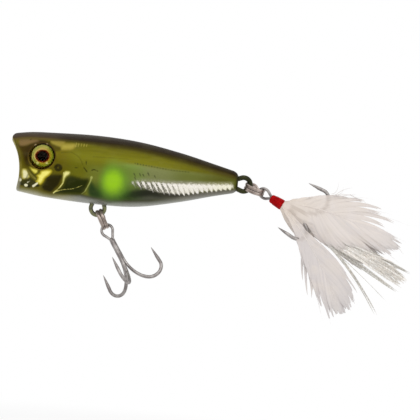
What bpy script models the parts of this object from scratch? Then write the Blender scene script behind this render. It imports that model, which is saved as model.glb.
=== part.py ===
"""Topwater popper: a hollow two-shell lure with a cupped mouth, wire hangers, split rings, treble hooks and
a feathered tail hook. Metres. The origin is the line tie's eye, +X runs to the tail and +Z to the back."""

import math

import bmesh
import bpy
from mathutils import Matrix, Vector

MM = 0.001

# Body
BODY_LENGTH = 65.1 * MM
BODY_HEIGHT = 19.2 * MM
BODY_WIDTH = 16.2 * MM
SECTION_POWER = 2.25
WALL = 1.2 * MM
SEAM_GAP = 0.2 * MM
TAIL_ROUND = 1.6 * MM
TAIL_FLAT = 0.55
# Share of the length, of the height and of the width, then the rise of the middle line
BODY_FORM = (
    (0.000, 0.830, 0.850, 0.75 * MM),
    (0.160, 0.945, 0.960, 0.42 * MM),
    (0.375, 1.000, 1.000, 0.29 * MM),
    (0.560, 0.949, 0.930, 0.08 * MM),
    (0.745, 0.716, 0.700, 0.29 * MM),
    (0.897, 0.456, 0.440, 0.48 * MM),
    (1.000, 0.285, 0.270, 0.49 * MM),
)

# Mouth cup: the upper lip leads, and the sides are scooped back
LIP_LEAD = 2.6 * MM
LIP_SCOOP = 1.4 * MM
LIP_WALL = 1.1 * MM
LIP_ROUND = 0.5 * MM
CUP_DEPTH = 5.2 * MM
TIE_SETBACK = 2.3 * MM

# Figure-eight wires: the line tie, the belly hanger and the tail hanger
HANGER_WIRE = 1.0 * MM
LOOP_RADIUS = 1.95 * MM
TIE_LOOP_RADIUS = 1.6 * MM
INNER_LOOP_RADIUS = 1.5 * MM
HANGER_NECK = 4.0 * MM
INNER_NECK = 2.6 * MM
STRAND_GAP = 0.15 * MM
SEAT_GAP = 0.2 * MM
BELLY_HANGER_AT = 26.1 * MM
BELLY_LOOP_DROP = 1.3 * MM
TAIL_LOOP_DROP = 1.6 * MM

# Inside of the shells
RIB = 1.2 * MM
BALL_DIAMETER = 4.0 * MM
BALL_GAP = 0.3 * MM
BALL_TRAVEL = 2.4 * MM
BALLAST_DIAMETER = 4.6 * MM
BALLAST_LENGTH = 5.8 * MM
PEG_DIAMETER = 1.4 * MM
PEG_LENGTH = 1.2 * MM

# Eyes
EYE_FROM_LIP = 9.3 * MM
EYE_RISE = 2.5 * MM
SOCKET_DIAMETER = 7.4 * MM
SOCKET_DEPTH = 1.25 * MM
EYE_DIAMETER = 6.5 * MM
EYE_DISC_THICKNESS = 0.5 * MM
EYE_DOME = 1.0 * MM
EYE_EDGE = 0.2 * MM

# Split rings
RING_DIAMETER = 6.0 * MM
RING_WIRE = 0.6 * MM
RING_COIL_GAP = 0.42 * MM
RING_TURNS = 1.83
RING_STEP_FROM = 0.86
RING_STEP_TO = 0.98
RING_CLEARANCE = 0.15 * MM

# Treble hooks, measured along the shank from the eye's centre
HOOK_WIRE = 0.7 * MM
HOOK_WIRE_GAP = 0.08 * MM
HOOK_EYE_RADIUS = 1.65 * MM
HOOK_EYE_NECK = 2.1 * MM
HOOK_EYE_DROP = 0.4 * MM
HOOK_LENGTH = 17.6 * MM
BEND_FROM = 9.0 * MM
BEND_RADIUS = 6.2 * MM
LEG_FROM = 14.6 * MM
LEG_RADIUS = 9.75 * MM
POINT_AT = 9.6 * MM
POINT_RADIUS = 9.3 * MM
POINT_TAPER = 3.0 * MM
BARB_FROM_POINT = 2.9 * MM
BARB_LENGTH = 1.0 * MM
BARB_RISE = 0.55 * MM

# How the two rigs lie: degrees below +X, degrees out towards the left flank, and turns about their own axes
BELLY_RING_LEAN = 61.8
BELLY_HOOK_LEAN = 56.9
BELLY_TILT = 12.7
BELLY_RING_ROLL = 0.0
BELLY_HOOK_ROLL = 12.5
TAIL_RING_LEAN = 17.6
TAIL_HOOK_LEAN = 26.0
TAIL_TILT = 10.9
TAIL_RING_ROLL = 12.0
TAIL_HOOK_ROLL = 39.0

# Whipping that binds the feathers to the tail hook's shank
WHIP_FROM = 2.7 * MM
WHIP_LENGTH = 3.7 * MM
WHIP_FRONT_RADIUS = 1.0 * MM
WHIP_REAR_RADIUS = 1.25 * MM
WHIP_BORE_GAP = 0.07 * MM
THREAD_DIAMETER = 0.3 * MM
THREAD_GAP = 0.44 * MM
THREAD_SEAT = 0.06 * MM

# Feathers and tinsel: points from the hook eye's centre, along the shank, to the right flank and to the back
FEATHER_THICKNESS = 0.5 * MM
QUILL_WIDTH = 0.8 * MM
FEATHER_GAP = 0.3 * MM
DRESSING_RADIUS = 1.15 * MM
# Name, degrees round the shank at the root, middle, tip, blade width, share of the length where the blade is
# full, and the way the blade's edge faces
FEATHERS = (
    ("lower_feather", 112.0, (20.5, -11.5, -3.4), (39.0, -8.8, -17.4), 11.4, 0.80, (0.50, 0.50, 0.75)),
    ("upper_feather", 35.0, (20.5, -3.8, 7.4), (42.0, -2.6, 7.8), 9.8, 0.50, (-0.10, 0.00, 1.00)),
    ("middle_feather", 330.0, (22.0, 2.2, 3.6), (40.5, 3.2, 1.6), 8.4, 0.65, (0.05, 0.10, 0.95)),
    ("rear_feather", 200.0, (20.0, 0.4, -3.0), (37.0, 1.0, -5.4), 7.4, 0.80, (0.20, 0.00, 0.90)),
)
TINSEL_WIDTH = 0.4 * MM
# Degrees round the shank at the root, middle, tip
TINSEL = (
    (302.0, (27.0, 5.8, 2.4), (48.0, 5.0, 2.5)),
    (276.0, (27.0, 4.4, 1.0), (48.5, 3.8, -1.0)),
    (240.0, (26.0, 4.0, -6.6), (48.0, 2.4, -4.4)),
    (164.0, (25.0, -2.2, -7.4), (46.5, -1.6, -8.2)),
    (140.0, (24.0, -3.6, -9.2), (44.5, -2.6, -13.4)),
)

# Facets
SECTION_STEPS = 22
TUBE_SIDES = 2
ROUND_STEPS = 28

PARTS = bpy.data.collections.new("topwater_popper")
CUTTERS = bpy.data.collections.new("popper_cutters")


# Scene and object helpers


def clear_scene():
    for obj in list(bpy.data.objects):
        bpy.data.objects.remove(obj, do_unlink=True)
    bpy.context.scene.collection.children.link(PARTS)
    bpy.context.scene.collection.children.link(CUTTERS)


def material(name, colour, roughness, metallic=0.0):
    found = bpy.data.materials.get(name)
    if found:
        return found
    made = bpy.data.materials.new(name)
    made.use_nodes = True
    shader = made.node_tree.nodes["Principled BSDF"]
    shader.inputs["Base Color"].default_value = (*colour, 1.0)
    shader.inputs["Roughness"].default_value = roughness
    shader.inputs["Metallic"].default_value = metallic
    return made


def as_part(obj, finish):
    PARTS.objects.link(obj)
    obj.data.materials.append(finish)
    return obj


def as_cutter(obj):
    CUTTERS.objects.link(obj)
    obj.hide_render = True
    obj.display_type = "WIRE"
    return obj


def mesh_object(name, bm):
    bmesh.ops.recalc_face_normals(bm, faces=bm.faces)
    mesh = bpy.data.meshes.new(name)
    bm.to_mesh(mesh)
    bm.free()
    mesh.shade_smooth()
    mesh.set_sharp_from_angle(angle=math.radians(35))
    return bpy.data.objects.new(name, mesh)


def boolean(obj, operation, other):
    modifier = obj.modifiers.new(f"{operation.lower()}_{other.name}", "BOOLEAN")
    modifier.operation = operation
    modifier.object = other


def tube(name, points, diameter, cyclic=False, shares=None, resolution=TUBE_SIDES):
    """A round wire along the points. Shares thin it towards its tips."""
    curve = bpy.data.curves.new(name, "CURVE")
    curve.dimensions = "3D"
    curve.bevel_depth = diameter / 2
    curve.bevel_resolution = resolution
    curve.use_fill_caps = True
    spline = curve.splines.new("POLY")
    spline.points.add(len(points) - 1)
    for index, (spot, point) in enumerate(zip(spline.points, points)):
        spot.co = (*point, 1.0)
        spot.radius = shares[index] if shares else 1.0
    spline.use_cyclic_u = cyclic
    return bpy.data.objects.new(name, curve)


def tube_mesh(name, points, diameter, cyclic=False, shares=None, resolution=TUBE_SIDES):
    """The same wire as a closed mesh, for a piece that is cut or joined."""
    curve = tube(name + "_curve", points, diameter, cyclic, shares, resolution)
    bpy.context.scene.collection.objects.link(curve)
    bpy.context.view_layer.update()
    graph = bpy.context.evaluated_depsgraph_get()
    mesh = bpy.data.meshes.new_from_object(curve.evaluated_get(graph))
    bpy.data.objects.remove(curve, do_unlink=True)
    bm = bmesh.new()
    bm.from_mesh(mesh)
    bmesh.ops.remove_doubles(bm, verts=bm.verts, dist=1e-6)
    bpy.data.meshes.remove(mesh)
    return mesh_object(name, bm)


def turned(name, profile):
    """A profile of (radius, height) points, outer side first, turned about the object's Z."""
    mesh = bpy.data.meshes.new(name)
    edges = [(i, i + 1) for i in range(len(profile) - 1)]
    mesh.from_pydata([(radius, 0.0, height) for radius, height in profile], edges, [])
    obj = bpy.data.objects.new(name, mesh)
    screw = obj.modifiers.new("turn", "SCREW")
    screw.axis = "Z"
    screw.steps = ROUND_STEPS
    screw.render_steps = ROUND_STEPS
    screw.use_merge_vertices = True
    screw.merge_threshold = 1e-6
    screw.use_smooth_shade = True
    return obj


def pivot(name, frame, parent=None):
    """An empty on a joint's axis. Its frame is given in world space."""
    empty = bpy.data.objects.new(name, None)
    empty.empty_display_size = 2 * MM
    PARTS.objects.link(empty)
    empty.parent = parent
    empty.matrix_world = frame
    bpy.context.view_layer.update()
    return empty


def hang(obj, parent):
    obj.parent = parent
    return obj


# Body form


def smooth(rows, share, column):
    """A column of the rows at this share, on a smooth curve through them."""
    last = len(rows) - 1
    index = max(i for i in range(last) if rows[i][0] <= share or i == 0)
    left, right = rows[index], rows[index + 1]

    def slope(i):
        a, b = rows[max(i - 1, 0)], rows[min(i + 1, last)]
        return (b[column] - a[column]) / (b[0] - a[0])

    span = right[0] - left[0]
    t = (share - left[0]) / span
    level = (1 + 2 * t) * (1 - t) ** 2 * left[column] + t * t * (3 - 2 * t) * right[column]
    lean = t * (1 - t) ** 2 * slope(index) - t * t * (1 - t) * slope(index + 1)
    return level + span * lean


LIP_X = -TIE_SETBACK - LIP_LEAD / 2 - LIP_SCOOP
TAIL_X = LIP_X + BODY_LENGTH


def section(x):
    """Half height, half width and middle height of the body at x."""
    share = min(max((x - LIP_X) / BODY_LENGTH, 0.0), 1.0)
    into_round = max(x - (TAIL_X - TAIL_ROUND), 0.0) / TAIL_ROUND
    rounding = TAIL_FLAT + (1 - TAIL_FLAT) * math.sqrt(max(1 - into_round**2, 0.0))
    half_height = smooth(BODY_FORM, share, 1) * BODY_HEIGHT / 2 * rounding
    half_width = smooth(BODY_FORM, share, 2) * BODY_WIDTH / 2 * rounding
    return half_height, half_width, smooth(BODY_FORM, share, 3)


def round_of(angle):
    """Width and height shares of the section's outline at an angle."""
    across, up = math.cos(angle), math.sin(angle)
    power = 2 / SECTION_POWER
    return math.copysign(abs(across) ** power, across), math.copysign(abs(up) ** power, up)


def rim_x(up):
    """Where the mouth's rim lies, from the lower lip (-1) to the upper lip (1)."""
    return -TIE_SETBACK - LIP_LEAD / 2 * up - LIP_SCOOP * up * up


def belly(x):
    half_height, _, middle = section(x)
    return middle - half_height


def flank(x, z):
    """Half width of the body at x and height z."""
    half_height, half_width, middle = section(x)
    up = min(abs(z - middle) / half_height, 1.0)
    return half_width * (1 - up**SECTION_POWER) ** (1 / SECTION_POWER)


# Shells


def shell_rings():
    """The half body's rings from the cup's floor over the lip to the tail, each as (x, width, height) points."""
    angles = [math.pi / 2 - math.pi * i / SECTION_STEPS for i in range(SECTION_STEPS + 1)]
    outline = [round_of(angle) for angle in angles]
    outline[0], outline[-1] = (0.0, 1.0), (0.0, -1.0)
    rings = []
    for share in (0.3, 0.55, 0.75, 0.9, 1.0):
        depth = CUP_DEPTH * (1 - share**2.2) ** 0.6
        ring = []
        for across, up in outline:
            half_height, half_width, middle = section(rim_x(up))
            x = rim_x(up * share) + depth
            width = (half_width - LIP_WALL) * across * share
            ring.append((x, width, middle + (half_height - LIP_WALL) * up * share))
        rings.append(ring)
    tail_share = 1 - TAIL_ROUND / BODY_LENGTH
    along = [(0.0, LIP_ROUND), (LIP_ROUND / BODY_LENGTH, 0.15 * LIP_ROUND)]
    along += [(tail_share * i / 22, 0.0) for i in range(1, 23)]
    along += [(tail_share + (1 - tail_share) * part, 0.0) for part in (0.45, 0.8, 1.0)]
    for share, inset in along:
        ring = []
        for across, up in outline:
            x = rim_x(up) * (1 - share) + TAIL_X * share
            half_height, half_width, middle = section(x)
            ring.append((x, (half_width - inset) * across, middle + (half_height - inset) * up))
        rings.append(ring)
    return rings


def half_body(name, side):
    """One closed half of the body: a loft from the cup's floor to the tail, flat on the seam."""
    bm = bmesh.new()
    seam = side * SEAM_GAP / 2
    rings = []
    for ring in shell_rings():
        rings.append([bm.verts.new((x, seam + side * width, z)) for x, width, z in ring])
    _, _, middle = section(rim_x(0))
    floor = bm.verts.new((rim_x(0) + CUP_DEPTH, seam, middle))
    _, _, middle = section(TAIL_X)
    tail = bm.verts.new((TAIL_X, seam, middle))
    for first, second in zip(rings, rings[1:]):
        for i in range(SECTION_STEPS):
            bm.faces.new((first[i], first[i + 1], second[i + 1], second[i]))
    for i in range(SECTION_STEPS):
        bm.faces.new((floor, rings[0][i + 1], rings[0][i]))
        bm.faces.new((tail, rings[-1][i], rings[-1][i + 1]))
    upper = [ring[0] for ring in rings]
    lower = [ring[-1] for ring in reversed(rings)]
    bm.faces.new([floor, *upper, tail, *lower])
    return mesh_object(name, bm)


def chamber(name, start, end):
    """A hollow that follows the outer form, one wall inside it."""
    bm = bmesh.new()
    steps, around = 8, 2 * SECTION_STEPS
    rings = []
    for i in range(steps + 1):
        x = start + (end - start) * i / steps
        half_height, half_width, middle = section(x)
        ring = []
        for j in range(around):
            across, up = round_of(2 * math.pi * (j + 0.5) / around)
            place = (x, (half_width - WALL) * across, middle + (half_height - WALL) * up)
            ring.append(bm.verts.new(place))
        rings.append(ring)
    for first, second in zip(rings, rings[1:]):
        for j in range(around):
            k = (j + 1) % around
            bm.faces.new((first[j], first[k], second[k], second[j]))
    bm.faces.new(rings[0])
    bm.faces.new(rings[-1])
    return as_cutter(mesh_object(name, bm))


def block(name, low, high):
    bm = bmesh.new()
    bmesh.ops.create_cube(bm, size=1.0)
    for vert in bm.verts:
        vert.co = [a + (b - a) * (c + 0.5) for a, b, c in zip(low, high, vert.co)]
    return as_cutter(mesh_object(name, bm))


def rod(name, centre, direction, diameter, length, sides=16):
    """A cylinder with its middle at the centre."""
    bm = bmesh.new()
    bmesh.ops.create_cone(
        bm, cap_ends=True, segments=sides, radius1=diameter / 2, radius2=diameter / 2, depth=length
    )
    turn = Vector((0, 0, 1)).rotation_difference(Vector(direction)).to_matrix().to_4x4()
    bmesh.ops.transform(bm, matrix=Matrix.Translation(centre) @ turn, verts=bm.verts)
    return mesh_object(name, bm)


# Wire loops


def eye_arc(radius, neck, half_gap, steps):
    """A teardrop eye about the origin in the XZ plane, from its upper to its lower strand, opening towards +X."""
    reach = math.hypot(neck, half_gap)
    open_angle = math.atan2(half_gap, neck) + math.acos(radius / reach)
    sweep = 2 * math.pi - 2 * open_angle
    angles = [open_angle + sweep * i / steps for i in range(steps + 1)]
    return [Vector((radius * math.cos(a), 0.0, radius * math.sin(a))) for a in angles]


def figure_eight(loop_radius):
    """A hanger about its eye's centre: the eye, the drawn-in neck along +X, and the inner loop."""
    half_gap = (HANGER_WIRE + STRAND_GAP) / 2
    outer = eye_arc(loop_radius, HANGER_NECK, half_gap, 16)
    inner = eye_arc(INNER_LOOP_RADIUS, INNER_NECK, half_gap, 12)
    far = Vector((HANGER_NECK + INNER_NECK, 0.0, 0.0))
    turned_back = [far - point for point in inner]
    waist = [Vector((HANGER_NECK, 0.0, -half_gap)), Vector((HANGER_NECK, 0.0, half_gap))]
    return [*outer, waist[0], *turned_back, waist[1]]


INNER_END = HANGER_NECK + INNER_NECK + INNER_LOOP_RADIUS + HANGER_WIRE / 2

BELLY_X = LIP_X + BELLY_HANGER_AT
BELLY_LOOP = Vector((BELLY_X, 0.0, belly(BELLY_X) - BELLY_LOOP_DROP))
TAIL_LOOP = Vector((TAIL_X + TAIL_LOOP_DROP, 0.0, 0.0))

HANGERS = (
    ("line_tie", TIE_LOOP_RADIUS, Matrix.Identity(4)),
    ("belly_hanger", LOOP_RADIUS, Matrix.Translation(BELLY_LOOP) @ Matrix.Rotation(-math.pi / 2, 4, "Y")),
    ("tail_hanger", LOOP_RADIUS, Matrix.Translation(TAIL_LOOP) @ Matrix.Rotation(math.pi, 4, "Y")),
)


def strand_part(arc, neck, room):
    """An eye's arc with its strands run towards the neck until they are this far from the middle line."""
    half_gap = (HANGER_WIRE + STRAND_GAP) / 2
    ends = []
    for point, side in ((arc[0], 1), (arc[-1], -1)):
        share = (abs(point.z) - room) / (abs(point.z) - half_gap)
        ends.append(point.lerp(Vector((neck, 0.0, side * half_gap)), share))
    return [ends[0], *arc, ends[1]]


def hanger_seat(name, loop_radius):
    """Cutters for a hanger's channel: the eye's strands, the drawn-in neck and the inner loop."""
    half_gap = (HANGER_WIRE + STRAND_GAP) / 2
    channel = HANGER_WIRE + 2 * SEAT_GAP
    room = channel / 2 + STRAND_GAP / 2
    outer = strand_part(eye_arc(loop_radius, HANGER_NECK, half_gap, 16), HANGER_NECK, room)
    inner = strand_part(eye_arc(INNER_LOOP_RADIUS, INNER_NECK, half_gap, 12), INNER_NECK, room)
    far = Vector((HANGER_NECK + INNER_NECK, 0.0, 0.0))
    inner = [far - point for point in inner]
    start, end = outer[0].x - channel / 4, inner[0].x + channel / 4
    half, thick = room + channel / 2, channel / 2 + STRAND_GAP / 2
    neck = block(name + "_neck", (start, -thick, -half), (end, thick, half))
    strands = [tube_mesh(name + part, route, channel) for part, route in (("_eye", outer), ("_inner", inner))]
    return [neck, *(as_cutter(strand) for strand in strands)]


def build_hangers(shells):
    steel = material("painted_wire", (0.10, 0.11, 0.02), 0.4, 0.6)
    for name, radius, frame in HANGERS:
        wire = as_part(tube(name, figure_eight(radius), HANGER_WIRE, cyclic=True), steel)
        wire.matrix_world = frame
        for cutter in hanger_seat(name + "_seat", radius):
            cutter.matrix_world = frame
            for shell in shells:
                boolean(shell, "DIFFERENCE", cutter)


# What the shells hold


BALL_POCKET = BALL_DIAMETER + 2 * BALL_GAP
HALF_BOSS = INNER_LOOP_RADIUS + HANGER_WIRE / 2 + SEAT_GAP + WALL


def ball_places():
    """Middles of the two rattle balls, in the keel behind the belly hanger."""
    first = BELLY_X + HALF_BOSS + RIB + BALL_POCKET / 2
    second = first + BALL_POCKET + RIB
    low = max(belly(first), belly(second))
    height = low + WALL + RIB + BALL_POCKET / 2
    return (("front_rattle_ball", first, height), ("rear_rattle_ball", second, height))


def build_inside(shells):
    """The chambers, with the keels that hold the balls and the ballast left standing in them."""
    (_, first_x, ball_height), (_, last_x, _) = ball_places()
    start = INNER_END + SEAT_GAP + WALL
    rear_end = TAIL_LOOP.x - INNER_END - SEAT_GAP - WALL
    rear_start = rear_end - BALLAST_LENGTH - 2 * SEAT_GAP
    main = chamber("main_chamber", start, rear_start - RIB)
    rear = chamber("rear_chamber", rear_start, rear_end)
    deep, wide = BODY_HEIGHT, BODY_WIDTH
    boss_end = BELLY_X + HALF_BOSS
    boss_top = BELLY_LOOP.z + INNER_END + SEAT_GAP + WALL
    boss = block("hanger_boss", (BELLY_X - HALF_BOSS, -wide, -deep), (boss_end, wide, boss_top))
    rib = block("middle_rib", (boss_end - RIB, -wide, -deep), (boss_end, wide, deep))
    keel_end = last_x + BALL_POCKET / 2 + RIB
    keel_top = ball_height + BALL_POCKET / 2 + RIB
    keel = block("rattle_keel", (boss_end - RIB / 2, -wide, -deep), (keel_end, wide, keel_top))
    for left_standing in (boss, rib, keel):
        boolean(main, "DIFFERENCE", left_standing)

    ballast_x = (rear_start + rear_end) / 2
    ballast_z = belly(rear_end) + WALL + SEAT_GAP + BALLAST_DIAMETER / 2
    cradle = block("ballast_keel", (rear_start - RIB, -wide, -deep), (rear_end + RIB, wide, ballast_z))
    boolean(rear, "DIFFERENCE", cradle)
    spot = (ballast_x, 0.0, ballast_z)
    grey = material("ballast_metal", (0.30, 0.30, 0.31), 0.5, 0.8)
    as_part(rod("ballast_weight", spot, (1, 0, 0), BALLAST_DIAMETER, BALLAST_LENGTH), grey)
    slot = (BALLAST_DIAMETER + 2 * SEAT_GAP, BALLAST_LENGTH + 2 * SEAT_GAP)
    cutters = [main, rear, as_cutter(rod("ballast_pocket", spot, (1, 0, 0), *slot))]

    steel = material("polished_ball", (0.55, 0.55, 0.57), 0.2, 1.0)
    for name, x, height in ball_places():
        bm = bmesh.new()
        bmesh.ops.create_uvsphere(bm, u_segments=16, v_segments=10, radius=BALL_DIAMETER / 2)
        ball = as_part(mesh_object(name, bm), steel)
        ball.location = (x, 0.0, height)
        reach = BALL_DIAMETER + 2 * (BALL_TRAVEL + BALL_GAP)
        cutters.append(as_cutter(rod(name + "_pocket", (x, 0.0, height), (0, 1, 0), BALL_POCKET, reach)))
    for shell in shells:
        for cutter in cutters:
            boolean(shell, "DIFFERENCE", cutter)


def build_pegs(left, right):
    """Alignment pegs on the left shell, and their sockets in the right one."""
    front_x = INNER_END - PEG_DIAMETER
    tail_x = TAIL_LOOP.x - HANGER_NECK - INNER_NECK
    half_height, _, middle = section(front_x)
    above_loop = INNER_LOOP_RADIUS + HANGER_WIRE / 2 + 2 * SEAT_GAP + PEG_DIAMETER / 2
    spots = ((front_x, middle + half_height - WALL - PEG_DIAMETER), (tail_x, TAIL_LOOP.z + above_loop))
    for number, (x, z) in enumerate(spots, 1):
        start = -SEAM_GAP / 2 - PEG_LENGTH
        end = SEAM_GAP / 2 + PEG_LENGTH
        centre = (x, (start + end) / 2, z)
        peg = rod(f"peg_{number}", centre, (0, 1, 0), PEG_DIAMETER, end - start, sides=12)
        boolean(left, "UNION", as_cutter(peg))
        room = (PEG_DIAMETER + 2 * SEAT_GAP, end - start + 2 * SEAT_GAP)
        socket = rod(f"peg_socket_{number}", centre, (0, 1, 0), *room, sides=12)
        boolean(right, "DIFFERENCE", as_cutter(socket))


def build_shells():
    olive = material("chromed_olive_shell", (0.23, 0.22, 0.05), 0.2, 0.5)
    left = as_part(half_body("left_shell", -1), olive)
    right = as_part(half_body("right_shell", 1), olive)
    return left, right


# Eyes


def eye_frame(side):
    """On the flank at the eye's middle, Z along the outward normal."""
    x, z = LIP_X + EYE_FROM_LIP, EYE_RISE
    step = 0.1 * MM
    slope_x = (flank(x + step, z) - flank(x - step, z)) / (2 * step)
    slope_z = (flank(x, z + step) - flank(x, z - step)) / (2 * step)
    out = Vector((-slope_x, side, -slope_z)).normalized()
    place = Vector((x, side * (SEAM_GAP / 2 + flank(x, z)), z))
    turn = Vector((0, 0, 1)).rotation_difference(out).to_matrix().to_4x4()
    return Matrix.Translation(place) @ turn


def build_eye(name, side, shell):
    frame = eye_frame(side)
    bore = rod(f"{name}_socket", (0, 0, SOCKET_DEPTH), (0, 0, 1), SOCKET_DIAMETER, 4 * SOCKET_DEPTH, sides=28)
    bore.matrix_world = frame
    boolean(shell, "DIFFERENCE", as_cutter(bore))
    radius = EYE_DIAMETER / 2
    base = SEAT_GAP - SOCKET_DEPTH
    top = base + EYE_DISC_THICKNESS
    yellow = material("eye_foil", (0.42, 0.40, 0.02), 0.3, 0.4)
    disc = turned(f"{name}_disc", [(0, top), (radius, top), (radius, base), (0, base)])
    as_part(disc, yellow).matrix_world = frame
    rest = top + SEAT_GAP
    dome = [(radius * math.sin(a), rest + EYE_EDGE + EYE_DOME * math.cos(a)) for a in lens_angles()]
    clear = material("eye_lens", (0.8, 0.8, 0.75), 0.05)
    lens = turned(f"{name}_lens", [*dome, (radius, rest), (0, rest)])
    as_part(lens, clear).matrix_world = frame


def lens_angles():
    return [math.pi / 2 * i / 6 for i in range(7)]


# Rings and hooks


def ring_centre_drop():
    """From the hanger's wire to the ring's middle: the ring's two coils sit in the loop's curve."""
    half_span = RING_WIRE + RING_COIL_GAP / 2
    hole = LOOP_RADIUS - HANGER_WIRE / 2
    sink = hole - math.sqrt(hole**2 - half_span**2)
    seat = HANGER_WIRE / 2 + sink + RING_CLEARANCE
    return RING_DIAMETER / 2 - RING_WIRE - seat


def ring_route():
    """Two flat coils joined by a short step, about the hanger's wire, with the chain running along +X."""
    radius = (RING_DIAMETER - RING_WIRE) / 2
    pitch = RING_WIRE + RING_COIL_GAP
    first = math.pi / 2 - math.pi * (RING_STEP_FROM + RING_STEP_TO)
    count = round(24 * RING_TURNS)
    route = []
    for i in range(count + 1):
        turn = RING_TURNS * i / count
        part = min(max((turn - RING_STEP_FROM) / (RING_STEP_TO - RING_STEP_FROM), 0.0), 1.0)
        angle = first + 2 * math.pi * turn
        height = pitch * (part * part * (3 - 2 * part) - 0.5)
        route.append(Vector((ring_centre_drop() + radius * math.cos(angle), radius * math.sin(angle), height)))
    return route


def least_gap(route, diameter, apart):
    """The narrowest gap between stretches of a tube that lie this many points apart."""
    pairs = [(a, b) for i, a in enumerate(route) for b in route[i + apart :]]
    return min((a - b).length for a, b in pairs) - diameter


def shank_radius():
    """From the middle of the three brazed wires to each."""
    return (HOOK_WIRE + HOOK_WIRE_GAP) / math.sqrt(3)


def outwards(azimuth):
    """Across the shank: from the back towards the left flank as the azimuth grows, in degrees."""
    angle = math.radians(azimuth)
    return Vector((0.0, -math.sin(angle), math.cos(angle)))


def hook_profile():
    """One hook from the shank to its point, as (along, out) pairs."""
    inner = shank_radius()
    start, low = Vector((BEND_FROM, inner)), Vector((HOOK_LENGTH, BEND_RADIUS))
    pull_down = start + Vector((0.55 * (HOOK_LENGTH - BEND_FROM), 0.0))
    pull_in = low - Vector((0.0, 0.5 * (BEND_RADIUS - inner)))
    profile = []
    for i in range(8):
        t = i / 8
        weights = ((1 - t) ** 3, 3 * (1 - t) ** 2 * t, 3 * (1 - t) * t * t, t**3)
        profile.append(sum((w * p for w, p in zip(weights, (start, pull_down, pull_in, low))), Vector((0, 0))))
    for i in range(7):
        angle = math.pi / 2 * i / 6
        along = LEG_FROM + (HOOK_LENGTH - LEG_FROM) * math.cos(angle)
        profile.append(Vector((along, BEND_RADIUS + (LEG_RADIUS - BEND_RADIUS) * math.sin(angle))))
    end = Vector((POINT_AT, POINT_RADIUS))
    leg = end - profile[-1]
    taper = end - leg.normalized() * POINT_TAPER
    return [*profile, taper, end]


def shank_axis(roll):
    """A point on the axis of the three wires. Two of them lie on the eye's plane, the third to one side."""
    return Vector((HOOK_EYE_DROP, 0.0, 0.0)) + outwards(roll + 90.0) * shank_radius() / 2


def hook_route(azimuth, roll):
    """One hook of a treble that is turned by this roll."""
    axis = shank_axis(roll)
    return [axis + Vector((along, 0, 0)) + outwards(azimuth) * out for along, out in hook_profile()]


def barb(name, azimuth, roll):
    """A sliver raised from the inside of the hook's leg, pointing back to the bend."""
    profile = hook_profile()
    end, taper = profile[-1], profile[-2]
    back = (taper - end).normalized()
    inward = Vector((-back.y, back.x))
    if inward.y > 0:
        inward = -inward
    foot = end + back * BARB_FROM_POINT
    tip = foot + back * BARB_LENGTH * 0.4 + inward * BARB_RISE
    half = HOOK_WIRE * 0.22
    corners = [foot - back * BARB_LENGTH * 0.6, foot + back * BARB_LENGTH * 0.2, tip]
    axis = shank_axis(roll)
    bm = bmesh.new()
    layers = []
    for side in (-half, half):
        layer = []
        for along, out in corners:
            place = axis + Vector((along, 0, 0)) + outwards(azimuth) * out + outwards(azimuth + 90) * side
            layer.append(bm.verts.new(place))
        layers.append(layer)
    bm.faces.new(layers[0])
    bm.faces.new(layers[1])
    for i in range(3):
        k = (i + 1) % 3
        bm.faces.new((layers[0][i], layers[0][k], layers[1][k], layers[1][i]))
    return as_cutter(mesh_object(name, bm))


def thinned(count, tips):
    """Wire thickness along a route of this many points: full, and drawn out at the tips."""
    return [0.12 if i in tips else 1.0 for i in range(count)]


def build_treble(name, roll, holder):
    steel = material("hook_steel", (0.42, 0.40, 0.38), 0.3, 1.0)
    first, second, third = roll - 30.0, roll + 210.0, roll + 90.0
    half_gap = shank_radius() * math.cos(math.radians(30))
    lead = hook_route(first, roll)
    tail = hook_route(second, roll)
    spin = Matrix.Rotation(math.radians(roll), 3, "X")
    drop = Vector((HOOK_EYE_DROP, 0.0, 0.0))
    eye = [drop + spin @ point for point in eye_arc(HOOK_EYE_RADIUS, HOOK_EYE_NECK, half_gap, 18)]
    necks = [drop + spin @ Vector((HOOK_EYE_NECK, 0.0, side * half_gap)) for side in (1, -1)]
    route = [*reversed(lead), necks[0], *eye, necks[1], *tail]
    shares = thinned(len(route), (0, len(route) - 1))
    double = as_part(tube_mesh(name + "_double", route, HOOK_WIRE, shares=shares), steel)
    route = hook_route(third, roll)
    top = route[0] - Vector((BEND_FROM - HOOK_EYE_NECK, 0.0, 0.0))
    route = [top, *route]
    single = as_part(
        tube_mesh(name + "_single", route, HOOK_WIRE, shares=thinned(len(route), (len(route) - 1,))), steel
    )
    for piece, azimuths in ((double, (first, second)), (single, (third,))):
        hang(piece, holder)
        for azimuth in azimuths:
            cutter = barb(f"{piece.name}_barb_{azimuth:.0f}", azimuth, roll)
            hang(cutter, holder)
            boolean(piece, "UNION", cutter)


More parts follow.
